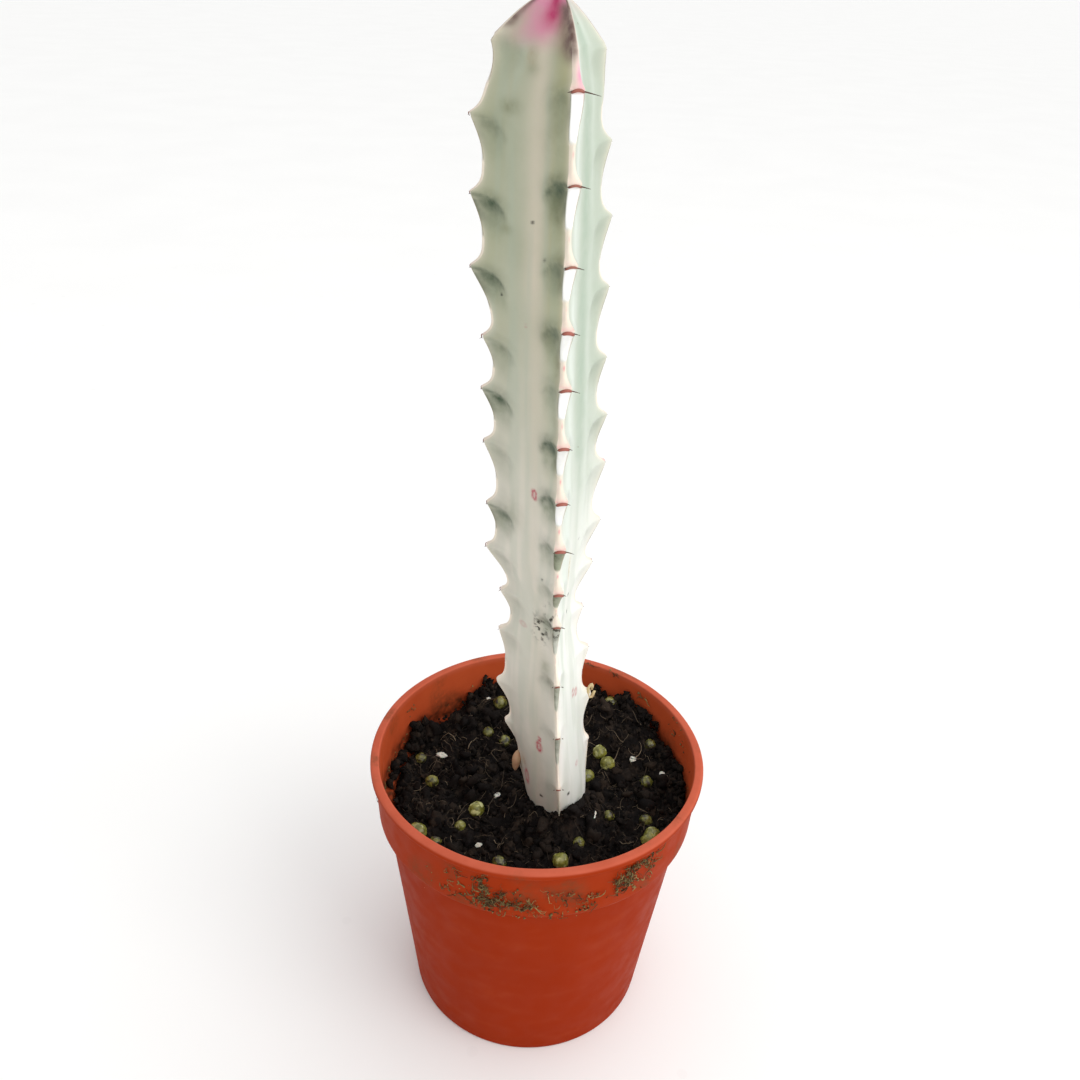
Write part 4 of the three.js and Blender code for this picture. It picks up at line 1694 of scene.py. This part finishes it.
@dataclass
class SoilBed:
    """The peat in the pot, with loose crumbs and fibres on it, in millimetres."""

    pot: NurseryPot
    level: float = 41.5
    fit_gap: float = 0.3
    necking: float = 4.0
    lump_height: float = 0.22
    lump_spacing: float = 7.0
    sides: int = 320
    rings: int = 96
    crumbs: int = 5600
    clods: int = 620
    fibres: int = 640
    stem_clear: float = 4.3
    stem_x: float = 3.8
    stem_y: float = -4.2
    clumps: tuple[Clump, ...] = (
        Clump(47, 12, 42.6, 47.6, 4.6, 620),
        Clump(64, 5, 42.6, 46.2, 3.0, 140),
        Clump(112, 6, 42.0, 46.8, 3.2, 300),
        Clump(151, 4, 40.9, 44.4, 2.2, 170),
        Clump(168, 9, 40.7, 41.5, 1.0, 50),
        Clump(10, 9, 41.4, 43.8, 1.6, 160),
        Clump(-28, 9, 41.2, 42.8, 1.2, 120),
        Clump(-75, 16, 41.0, 42.2, 1.0, 110),
    )
    mounds: tuple[Mound, ...] = (
        Mound(0.55, 0.75, 3.2, 0.25),
        Mound(-0.34, 0.82, 2.4, 0.19),
        Mound(-0.67, 0.59, 0.9, 0.15),
        Mound(0.8, 0.52, 1.6, 0.17),
        Mound(0.17, -0.33, 3.6, 0.15),
        Mound(-0.88, 0.04, -1.6, 0.34),
    )

    @property
    def neck(self) -> float:
        """The soil's radius where the pot's body meets the collar."""
        return self.pot.body_top - self.pot.wall - self.fit_gap

    @property
    def wide(self) -> float:
        """The soil's radius where it covers the ledge."""
        return self.pot.collar_radius(self.pot.ledge_top) - self.pot.wall - self.fit_gap

    def height(self, x: np.ndarray, y: np.ndarray) -> np.ndarray:
        """How high the soil stands at a place, as in the CAD."""
        total = np.full(np.shape(x), self.level)
        for mound in self.mounds:
            away = np.hypot(x / self.neck - mound.x, y / self.neck - mound.y) / mound.spread
            total = total + mound.height * np.exp(-(away**2) / 2)
        pitch = 2 * math.pi / self.lump_spacing
        lumps = np.sin(pitch * x) * np.sin(pitch * y) + np.sin(pitch * (x - y))
        return total + self.lump_height * lumps

    def top_radius(self, turn: np.ndarray) -> np.ndarray:
        """Radius of the soil's edge in a direction."""
        cover = smooth(np.cos(turn - 0.25), -0.35, 0.25)
        return self.neck + (self.wide - self.neck) * cover

    def relief(self, x: np.ndarray, y: np.ndarray) -> np.ndarray:
        """The rough surface's height above the CAD's smooth one."""
        flat = np.stack([x.ravel(), y.ravel(), np.zeros(x.size)], axis=1)
        heaps = wander(flat, 6.0, 1.0, 2)
        clods = np.abs(wander(flat, 3.1, 4.0, 2))
        lumps = np.abs(wander(flat, 1.4, 2.0, 2))
        grit = wander(flat, 0.55, 7.0, 2)
        rough = (0.6 * heaps + 1.6 * clods + 1.0 * lumps + 0.2 * grit - 0.85).reshape(x.shape)
        for place, radius in self._grain_spots():
            away = np.hypot(x - place[0], y - place[1])
            rough = rough * (1 - 0.85 * hump(away, 0, radius + 0.5))
        foot = np.hypot(x - self.stem_x, y - self.stem_y)
        ahead = smooth(self.stem_y - y, -3.5, 2.0)
        heap = hump(np.hypot(x - 11.5, y - 15.0), 0, 5.2)
        return 1.2 * rough + 1.0 * hump(foot, 5.6, 2.4) * ahead + 1.6 * heap

    def _grain_spots(self) -> list[tuple[np.ndarray, float]]:
        """The middle and radius of every prill and perlite chip of the CAD."""
        spots = []
        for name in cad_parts:
            if name.startswith(("prill_", "perlite_")):
                low, high = (np.array(corner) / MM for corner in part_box(name))
                spots.append(((low + high) / 2, float(high[0] - low[0]) / 2))
        return spots

    def surface(self, x: np.ndarray, y: np.ndarray) -> np.ndarray:
        """Height of the rough surface at a place."""
        return self.height(x, y) + self.relief(x, y)

    def inside_radius(self, z: float) -> float:
        """The soil's radius below the collar at a height."""
        return self.pot.body_radius(z) - self.pot.wall - self.fit_gap

    @staticmethod
    def _ring(turn: np.ndarray, radius: float, z: float) -> np.ndarray:
        """A level ring of points."""
        return np.stack([radius * np.cos(turn), radius * np.sin(turn), np.full_like(turn, z)], -1)

    def body(self) -> Skin:
        """The closed body of the soil, rough on top."""
        turn = np.arange(self.sides) / self.sides * 2 * math.pi
        pot, narrow = self.pot, self.inside_radius
        bottom = pot.foot_height + pot.floor + self.fit_gap
        sides = [
            (narrow(bottom) - 1.4, bottom),
            (narrow(bottom + 0.5) - 0.4, bottom + 0.5),
            (narrow(bottom + 1.2), bottom + 1.2),
            (narrow(16), 16.0),
            (narrow(28), 28.0),
            (narrow(pot.collar_bottom - self.necking), pot.collar_bottom - self.necking),
        ]
        stack = []
        for radius, z in sides:
            stack.append(self._ring(turn, radius, z))
        edge = self.top_radius(turn)
        stack.append(self._ring(turn, narrow(38.5), 38.2))
        around = np.stack([26 * np.cos(turn), 26 * np.sin(turn), np.zeros_like(turn)], 1)
        bites = np.clip(wander(around, 4.0, 3.0, 3), 0, 1)
        for share in 1 - np.linspace(0, 1, self.rings)[:-1] ** 1.15:
            ragged = edge * share * (1 - 0.06 * bites * smooth(np.array([share]), 0.75, 1.0)[0])
            x, y = ragged * np.cos(turn), ragged * np.sin(turn)
            rim = 1 - smooth(np.array([1 - share]), 0, 0.02)[0]
            z = self.surface(x, y) - 0.5 * rim
            stack.append(np.stack([x, y, np.maximum(z, 38.6)], -1))
        rings = np.array(stack)
        flat = rings.reshape(-1, 3)
        tone = smooth(wander(flat, 1.6, 6.0, 3), 0.05, 0.6) * 0.9
        return lofted(rings, {"tone": tone.reshape(rings.shape[:2])})

    def lumps(
        self, rng: np.random.Generator, detail: int, count: int, rough: float
    ) -> list[Skin]:
        """Irregular lumps to scatter.

        Args:
            rng: The random source.
            detail: How finely each is divided.
            count: How many there are.
            rough: How uneven they are.

        Returns:
            The lumps, about 1 mm in radius.
        """
        shapes = []
        for _ in range(count):
            shape = ball(detail)
            push = 1 + rough * wander(shape.points, 1.1, rng.random() * 90, 3)
            squash = (1.0, 0.55 + 0.45 * rng.random(), 0.45 + 0.5 * rng.random())
            shape.points = shape.points * push[:, None] * squash
            shapes.append(shape)
        return shapes

    def scattered(
        self,
        rng: np.random.Generator,
        shapes: list[Skin],
        places: np.ndarray,
        sizes: np.ndarray,
        tone: np.ndarray,
    ) -> Skin:
        """Copies of the lumps, each turned its own way.

        Args:
            rng: The random source.
            shapes: Lumps to copy.
            places: Where each copy goes.
            sizes: Each copy's radius.
            tone: Each copy's tone mark.

        Returns:
            One skin of them all.
        """
        skins = []
        for place, radius, shade in zip(places, sizes, tone):
            shape = shapes[rng.integers(len(shapes))]
            points = shape.points @ turned(rng).T * radius + place
            skins.append(Skin(points, shape.faces, {"tone": np.full(len(points), shade)}))
        return joined(skins)

    def _spread(self, rng: np.random.Generator, count: int) -> np.ndarray:
        """Random places on the soil, more of them on the mounds, none inside the stem."""
        turn = rng.random(count) * 2 * math.pi
        radius = self.top_radius(turn) * np.sqrt(rng.random(count)) * 0.995
        x, y = radius * np.cos(turn), radius * np.sin(turn)
        clear = np.hypot(x - self.stem_x, y - self.stem_y) > self.stem_clear
        return np.stack([x[clear], y[clear]], axis=1)

    def litter(self) -> Skin:
        """Crumbs and clods over the surface, against the wall and round the stem."""
        rng = np.random.default_rng(5)
        skins = []
        for count, low, high, detail, rough in (
            (self.crumbs, 0.12, 0.46, 1, 0.9),
            (self.clods, 0.5, 1.45, 2, 1.2),
        ):
            places = self._spread(rng, count)
            sizes = low + (high - low) * rng.random(len(places)) ** 2.2
            if low > 0.4:
                for spot, radius in self._grain_spots():
                    away = np.hypot(places[:, 0] - spot[0], places[:, 1] - spot[1])
                    sizes = np.where(away < radius + 1.2, 0.25, sizes)
            lift = sizes * (0.1 + 0.35 * rng.random(len(places)))
            z = self.surface(places[:, 0], places[:, 1]) + lift
            tone = 0.9 * rng.random(len(places)) ** 3
            spots = np.column_stack([places, z])
            shapes = self.lumps(rng, detail, 14, rough)
            skins.append(self.scattered(rng, shapes, spots, sizes, tone))
        skins += [self._wall_clump(rng, clump) for clump in self.clumps]
        skins.append(self._collar_round_stem(rng))
        return joined(skins)

    def _wall_clump(self, rng: np.random.Generator, clump: Clump) -> Skin:
        """Peat that clings to the wall: a ragged heap, thick below and thin above.

        Args:
            rng: The random source.
            clump: Where it clings and how far it reaches.

        Returns:
            The heap's skin.
        """
        count = clump.count
        spread = np.clip(rng.normal(0, 1, count), -2.2, 2.2)
        turn = np.radians(clump.azimuth + clump.wide * spread)
        top = (clump.high - clump.low) * np.exp(-(spread**2) / 3)
        top = top * (0.75 + 0.25 * np.sin(5 * spread))
        up = rng.random(count) ** 1.2 * top
        z = clump.low + up
        wall = np.array([self.pot.collar_radius(v) for v in z]) - self.pot.wall - 0.35
        radius = wall - clump.reach * rng.random(count) * (1 - up / (clump.high - clump.low + 1.0))
        places = np.stack([radius * np.cos(turn), radius * np.sin(turn), z], 1)
        sizes = 0.25 + 0.75 * rng.random(count) ** 1.8
        shapes = self.lumps(rng, 1, 10, 1.1)
        return self.scattered(rng, shapes, places, sizes, 0.8 * rng.random(count) ** 3)

    def _collar_round_stem(self, rng: np.random.Generator) -> Skin:
        """Fine peat heaped against the stem's foot."""
        count = 760
        turn = rng.random(count) * 2 * math.pi
        away = self.stem_clear + 0.1 + rng.random(count) ** 1.3 * 2.2
        x, y = self.stem_x + away * np.cos(turn), self.stem_y + away * np.sin(turn)
        sizes = 0.14 + 0.5 * rng.random(count) ** 2
        z = self.surface(x, y) + 0.4 * rng.random(count)
        shapes = self.lumps(rng, 1, 8, 0.9)
        tone = 0.7 * rng.random(count) ** 2
        return self.scattered(rng, shapes, np.stack([x, y, z], 1), sizes, tone)

    def strands(self) -> Skin:
        """Peat fibres and root hairs lying on the soil."""
        rng = np.random.default_rng(8)
        places = self._spread(rng, self.fibres)
        skins = []
        for x, y in places:
            length = 0.8 + 3.6 * rng.random() ** 2
            heading = rng.random() * 2 * math.pi
            bend = rng.normal(0, 1.1, 2)
            t = np.linspace(0, 1, 8)
            angle = heading + bend[0] * t + bend[1] * t * t
            step = length / 7
            px = x + np.cumsum(np.cos(angle)) * step
            py = y + np.cumsum(np.sin(angle)) * step
            inside = np.hypot(px, py) < self.neck - 0.2
            if not inside.all():
                continue
            ground = self.surface(px, py)
            pz = ground.max() * 0.35 + ground * 0.65 + 0.12
            pz = pz + 0.45 * rng.random() * np.sin(math.pi * t)
            thick = (0.025 + 0.055 * rng.random() ** 2) * (1 - 0.7 * t)
            tone = np.full(8, rng.random() ** 2.5)
            skins.append(tube(np.stack([px, py, pz], 1), thick, 5, tone))
        return joined(skins)

    def build(self, effects: Effects) -> list[bpy.types.Object]:
        """Builds the soil's body, its crumbs and its fibres.

        Args:
            effects: The shared shader groups.

        Returns:
            The three pieces.
        """
        peat = PEAT.make(effects)
        body = self.body().to_object("soil_bed", peat)
        seat(body, Slot.SOIL, "soil")
        crumbs = self.litter().to_object("soil_crumbs", peat)
        seat(crumbs, Slot.SOIL)
        fibres = self.strands().to_object("soil_fibres", ROOT_FIBRE.make(effects))
        seat(fibres, Slot.SOIL)
        return [body, crumbs, fibres]


# ---------------------------------------------------------------- grains and dirt


class GrainKind(Enum):
    """The two kinds of grain: the node's first word, its slot and its roughness."""

    PRILL = ("prill", Slot.PRILL, 0.14)
    PERLITE = ("perlite", Slot.PERLITE, 0.42)


PRILL_SOILING = {
    "prill_01": 0.15,
    "prill_02": 0.15,
    "prill_04": 0.4,
    "prill_06": 0.5,
    "prill_07": 0.1,
    "prill_08": 0.65,
    "prill_11": 0.1,
    "prill_12": 0.15,
    "prill_13": 0.5,
    "prill_14": 0.6,
}


@dataclass
class Grains:
    """Fertiliser prills or perlite chips. Each takes its place from its CAD node.

    Attributes:
        kind: Which of the two.
        finish: Their finish.
        doubles: Nodes whose grain is two grown together.
        size: Size beside the node's.
        soiling: How dirty single nodes are, 0 to 1.
        usual_soiling: How dirty the others are.
    """

    kind: GrainKind
    finish: WashedFinish
    doubles: tuple[str, ...] = ()
    size: float = 1.0
    soiling: dict[str, float] = field(default_factory=dict)
    usual_soiling: float = 0.85

    def names(self) -> list[str]:
        """The CAD nodes of this kind, in order."""
        return sorted(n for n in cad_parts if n.startswith(self.kind.value[0] + "_"))

    def shape(self, rng: np.random.Generator, low: np.ndarray, high: np.ndarray, name: str) -> Skin:
        """One grain inside its node's box.

        Args:
            rng: The random source.
            low: The box's lowest corner.
            high: The box's highest corner.
            name: The node's name, which tells a double grain and a soiled one.

        Returns:
            The grain's skin.
        """
        rough = self.kind.value[2]
        unit = ball(5)
        points = unit.points
        coarse = wander(points, 1.3, rng.random() * 50, 2)
        fine = wander(points, 0.35, rng.random() * 50, 3)
        push = 1 + rough * coarse + 0.28 * rough * fine
        if self.kind is GrainKind.PERLITE:
            pits = np.abs(wander(points, 0.8, rng.random() * 50, 1))
            push = push * (1 - 0.25 * smooth(pits, 0.25, 0.6))
            points = points * (1.2, 0.75 + 0.2 * rng.random(), 0.6 + 0.25 * rng.random())
        points = points * push[:, None]
        if name in self.doubles:
            pinch = 1 - 0.2 * np.exp(-((points[:, 0] / 0.3) ** 2))
            points = points * np.stack([np.full(len(points), 1.45), pinch, pinch], 1)
        spin = rng.random() * math.pi
        turn = np.array(Matrix.Rotation(spin, 3, "Z"))
        points = points @ turn.T * (self.size * (high - low) / 2) + (low + high) / 2
        height = unit.points[:, 2]
        dirt = self.soiling.get(name, self.usual_soiling)
        points[:, 2] -= 0.3 * dirt * float(high[0] - low[0]) / 2
        tone = smooth(wander(unit.points, 0.6, rng.random() * 50, 2), 0.1, 0.5) * (1.1 - dirt)
        patches = smooth(wander(unit.points, 0.7, rng.random() * 50, 3), 0.3 - 0.6 * dirt, 0.5)
        soiled = (1 - smooth(height, -0.75, -0.1 + 0.7 * dirt)) + (0.25 + 0.6 * dirt) * patches
        soiled = soiled + 0.45 * dirt
        return Skin(points, unit.faces, {"tone": tone, "soiled": soiled})

    def build(self, effects: Effects) -> list[bpy.types.Object]:
        """Builds every grain of this kind as its own piece.

        Args:
            effects: The shared shader groups.

        Returns:
            The grains.
        """
        word, slot, _ = self.kind.value
        rng = np.random.default_rng(len(word) * 13)
        material = self.finish.make(effects)
        pieces = []
        for name in self.names():
            low, high = (np.array(corner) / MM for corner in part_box(name))
            skin = self.shape(rng, low, high, name)
            piece = skin.to_object(name + "_grain", material)
            seat(piece, slot, name)
            pieces.append(piece)
        return pieces


@dataclass(frozen=True)
class DirtPatch:
    """Dirt on the pot: azimuth and height of its middle, its spreads and its amounts.

    Attributes:
        azimuth: Its middle, in degrees.
        height: Its middle, in millimetres.
        wide: Spread along the wall, in millimetres.
        tall: Spread up the wall, in millimetres.
        strands: How many moss strands it has.
        specks: How many crumbs it has.
        inside: Whether it is on the inner wall.
        pale: Tone of its strands, 0 to 1.
    """

    azimuth: float
    height: float
    wide: float
    tall: float
    strands: int
    specks: int
    inside: bool = False
    pale: float = 0.25


@dataclass
class PotDirt:
    """Moss, peat crumbs and stray fibres that stick to the collar and the rim."""

    pot: NurseryPot
    patches: tuple[DirtPatch, ...] = (
        DirtPatch(-106.5, 46.6, 0.5, 1.0, 19, 6),
        DirtPatch(-104.5, 44.4, 0.8, 1.4, 43, 14),
        DirtPatch(-103.5, 42.3, 0.9, 0.8, 32, 14),
        DirtPatch(-98.0, 43.6, 0.5, 1.3, 22, 10),
        DirtPatch(-95.5, 42.6, 1.5, 0.3, 24, 12),
        DirtPatch(-90.5, 42.7, 0.9, 0.6, 24, 10, pale=0.5),
        DirtPatch(-116.0, 43.2, 2.6, 1.1, 12, 14, pale=0.6),
        DirtPatch(-115.0, 46.8, 0.3, 0.7, 6, 4),
        DirtPatch(-112.0, 41.6, 2.0, 0.3, 7, 14),
        DirtPatch(-94.0, 45.2, 0.5, 0.4, 4, 5),
        DirtPatch(-83.0, 45.6, 0.7, 0.3, 4, 4, pale=0.8),
        DirtPatch(-77.0, 45.0, 0.9, 0.3, 7, 5),
        DirtPatch(-78.5, 43.2, 0.3, 0.6, 4, 3),
        DirtPatch(-70.0, 43.4, 0.8, 0.5, 13, 8),
        DirtPatch(-71.0, 41.7, 1.2, 0.5, 6, 10),
        DirtPatch(-88.0, 40.2, 4.0, 0.5, 6, 24),
        DirtPatch(-103.0, 40.4, 0.6, 0.3, 3, 4),
        DirtPatch(-58.0, 45.0, 1.0, 1.2, 36, 14),
        DirtPatch(-54.5, 46.6, 1.4, 0.6, 29, 12),
        DirtPatch(-60.5, 43.6, 0.5, 0.9, 14, 6),
        DirtPatch(-55.5, 44.4, 0.6, 0.4, 14, 8),
        DirtPatch(-49.0, 47.2, 0.9, 0.8, 19, 10),
        DirtPatch(-46.0, 45.6, 0.5, 1.3, 13, 8),
        DirtPatch(-52.0, 42.2, 1.2, 1.0, 3, 8, pale=0.9),
        DirtPatch(152, 47.0, 0.6, 0.6, 4, 5, True),
        DirtPatch(71, 50.1, 0.5, 0.15, 3, 7, True),
        DirtPatch(60, 50.0, 0.5, 0.2, 3, 7, True),
        DirtPatch(120, 44.0, 6.0, 1.0, 3, 22, True),
        DirtPatch(45, 48.6, 1.4, 0.6, 3, 8, True),
        DirtPatch(-20, 45.0, 6.0, 1.2, 4, 26, True),
        DirtPatch(165, 41.6, 6.0, 0.5, 3, 34, True),
        DirtPatch(20, 47.5, 3.0, 1.2, 3, 14, True),
        DirtPatch(100, 45.2, 5.0, 1.6, 16, 20),
        DirtPatch(20, 43.6, 6.0, 1.2, 10, 20),
        DirtPatch(-170, 44.2, 5.0, 1.4, 12, 20),
    )

    def _wall(self, z: np.ndarray, inside: bool) -> np.ndarray:
        """Radius of the wall's surface at each height, with the body below the collar."""
        collar = np.array([self.pot.collar_radius(v) for v in z])
        body = np.array([self.pot.body_radius(v) for v in z])
        outer = np.where(z < self.pot.collar_bottom, body, collar)
        return outer - self.pot.wall if inside else outer

    def skin(self, soil: SoilBed) -> Skin:
        """All the dirt as one skin, made of crumbs and curly strands."""
        rng = np.random.default_rng(21)
        shapes = soil.lumps(rng, 1, 10, 1.1)
        skins = []
        for patch in self.patches:
            skins.append(self._specks(rng, soil, shapes, patch))
            for _ in range(patch.strands):
                skins.append(self._strand(rng, patch))
        return joined(skins)

    def _specks(
        self, rng: np.random.Generator, soil: SoilBed, shapes: list[Skin], patch: DirtPatch
    ) -> Skin:
        """A patch's crumbs.

        Args:
            rng: The random source.
            soil: The soil, which scatters them.
            shapes: Lumps to copy.
            patch: The patch.

        Returns:
            The crumbs as one skin.
        """
        count = patch.specks
        turn = math.radians(patch.azimuth) + rng.normal(0, patch.wide, count) / self.pot.rim_radius
        z = np.clip(rng.normal(patch.height, patch.tall, count), 39.9, 50.15)
        radius = self._wall(z, patch.inside)
        places = np.stack([radius * np.cos(turn), radius * np.sin(turn), z], 1)
        sizes = 0.06 + 0.2 * rng.random(count) ** 2
        return soil.scattered(rng, shapes, places, sizes, rng.random(count))

    def _strand(self, rng: np.random.Generator, patch: DirtPatch) -> Skin:
        """One curly strand lying on the wall."""
        points = 9
        length = 0.6 + 2.2 * rng.random() ** 1.6
        heading = rng.random() * 2 * math.pi
        curl = np.cumsum(rng.normal(0, 0.55, points))
        step = length / points
        along = rng.normal(0, patch.wide) + np.cumsum(np.cos(heading + curl)) * step
        up = rng.normal(patch.height, patch.tall) + np.cumsum(np.sin(heading + curl)) * step
        up = np.clip(up, 39.8, 49.9)
        around = math.radians(patch.azimuth) + along / self.pot.rim_radius
        lift = 0.05 + 0.35 * rng.random() * np.sin(np.linspace(0, math.pi, points))
        radius = self._wall(up, patch.inside) + (-lift if patch.inside else lift)
        path = np.stack([radius * np.cos(around), radius * np.sin(around), up], 1)
        path = path + rng.normal(0, 0.02, path.shape)
        thick = (0.045 + 0.085 * rng.random() ** 1.5) * (1 - 0.6 * np.linspace(0, 1, points))
        tone = np.clip(patch.pale + rng.normal(0, 0.3), 0, 1)
        return tube(path, thick, 5, np.full(points, tone))

    def build(self, effects: Effects, soil: SoilBed) -> bpy.types.Object:
        """Builds the dirt.

        Args:
            effects: The shared shader groups.
            soil: The soil, whose lumps it borrows.

        Returns:
            The dirt as one piece.
        """
        piece = self.skin(soil).to_object("collar_dirt", COLLAR_MOSS.make(effects))
        seat(piece, Slot.SOIL)
        return piece


# ---------------------------------------------------------------- studio


@dataclass
class Studio:
    """The floor, the soft light and the camera.

    Attributes:
        eye: Where the camera stands, in millimetres.
        yaw: How far it turns to the right, in degrees.
        pitch: How far it looks down, in degrees.
        roll: How far it tips, in degrees.
        lens: Its focal length, in millimetres.
        film_width: Its film's width, in millimetres.
        nearest: The nearest that it sees, in metres.
        farthest: The farthest that it sees, in metres.
        floor_side: The floor's side, in metres.
        sky_left: Brightness of the sky on the left.
        sky_right: Brightness of the sky on the right.
        key_power: Power of the soft light, in watts.
    """

    eye: tuple[float, float, float] = (0.0, -133.64, 167.36)
    yaw: float = -0.56
    pitch: float = 29.99
    roll: float = 2.85
    lens: float = 34.79
    film_width: float = 36.0
    nearest: float = 0.01
    farthest: float = 30.0
    floor_side: float = 30.0
    sky_left: float = 0.58
    sky_right: float = 1.45
    key_power: float = 1.3

    def floor(self, effects: Effects) -> bpy.types.Object:
        """The pale floor, a wide sheet with a gently rounded edge."""
        half = self.floor_side / 2 / MM
        line = np.linspace(-half, half, 25)
        x, y = np.meshgrid(line, line)
        away = np.clip(np.hypot(x, y) / half - 0.7, 0, 1)
        points = np.stack([x.ravel(), y.ravel(), (-60 * away**2).ravel()], 1)
        faces = []
        for row in range(24):
            for column in range(24):
                corner = row * 25 + column
                faces.append((corner, corner + 1, corner + 26, corner + 25))
        floor = Skin(points, faces).to_object("studio_floor", FLOOR_PAPER.make(effects))
        return floor

    def camera(self) -> bpy.types.Object:
        """The camera."""
        yaw, pitch, roll = (math.radians(v) for v in (self.yaw, self.pitch, self.roll))
        ahead = Vector(
            (math.sin(yaw) * math.cos(pitch), math.cos(yaw) * math.cos(pitch), -math.sin(pitch))
        )
        right = Vector((math.cos(yaw), -math.sin(yaw), 0))
        up = right.cross(ahead)
        across = right * math.cos(roll) + up * math.sin(roll)
        upward = up * math.cos(roll) - right * math.sin(roll)
        data = bpy.data.cameras.new("studio_camera")
        data.lens, data.sensor_width = self.lens, self.film_width
        data.clip_start, data.clip_end = self.nearest, self.farthest
        camera = bpy.data.objects.new("studio_camera", data)
        bpy.context.scene.collection.objects.link(camera)
        turn = Matrix((across, upward, -ahead)).transposed()
        camera.matrix_world = Matrix.Translation(Vector(self.eye) * MM) @ turn.to_4x4()
        bpy.context.scene.camera = camera
        return camera

    def lamp(self, name: str, place: tuple, size: float, power: float, colour: tuple) -> None:
        """A soft square light aimed at the plant."""
        data = bpy.data.lights.new(name, "AREA")
        data.shape, data.size, data.energy, data.color = "SQUARE", size, power, colour
        lamp = bpy.data.objects.new(name, data)
        bpy.context.scene.collection.objects.link(lamp)
        lamp.location = place
        aim = Vector((0, 0, 0.09)) - Vector(place)
        lamp.rotation_euler = aim.to_track_quat("-Z", "Y").to_euler()

    def sky(self) -> None:
        """A white sky, brighter on the right."""
        world = bpy.data.worlds.new("pale_sky")
        world.use_nodes = True
        nodes = Nodes(world.node_tree)
        direction = nodes.add("TexCoord", {}).outputs["Generated"]
        sideways = nodes.add("SeparateXYZ", {0: direction}).outputs[0]
        background = world.node_tree.nodes["Background"]
        background.inputs["Color"].default_value = (1.0, 1.0, 1.0, 1.0)
        level = nodes.span(sideways, -0.8, 0.9, self.sky_left, self.sky_right)
        nodes.plug(background.inputs["Strength"], level)
        bpy.context.scene.world = world

    def build(self, effects: Effects) -> None:
        """Sets up the floor, the light, the sky and the camera."""
        self.floor(effects)
        self.camera()
        self.lamp("key_light", (0.42, -0.3, 0.62), 0.42, self.key_power, (1.0, 0.99, 0.97))
        self.sky()
        scene = bpy.context.scene
        scene.view_settings.view_transform = "Standard"


def main() -> None:
    """Builds the plant in its pot and the studio round it."""
    logging.basicConfig(level=logging.INFO, format="%(name)s: %(message)s")
    effects = Effects()
    pot = NurseryPot()
    soil = SoilBed(pot)
    pot.build(effects)
    soil.build(effects)
    EuphorbiaStem().build(effects)
    prills = Grains(GrainKind.PRILL, PRILL_COAT, doubles=("prill_01",), soiling=PRILL_SOILING)
    prills.build(effects)
    chips = Grains(
        GrainKind.PERLITE, PERLITE_CHIP, doubles=("perlite_02",), size=0.78, usual_soiling=0.15
    )
    chips.build(effects)
    PotDirt(pot).build(effects, soil)
    Studio().build(effects)


if __name__ == "__main__":
    main()
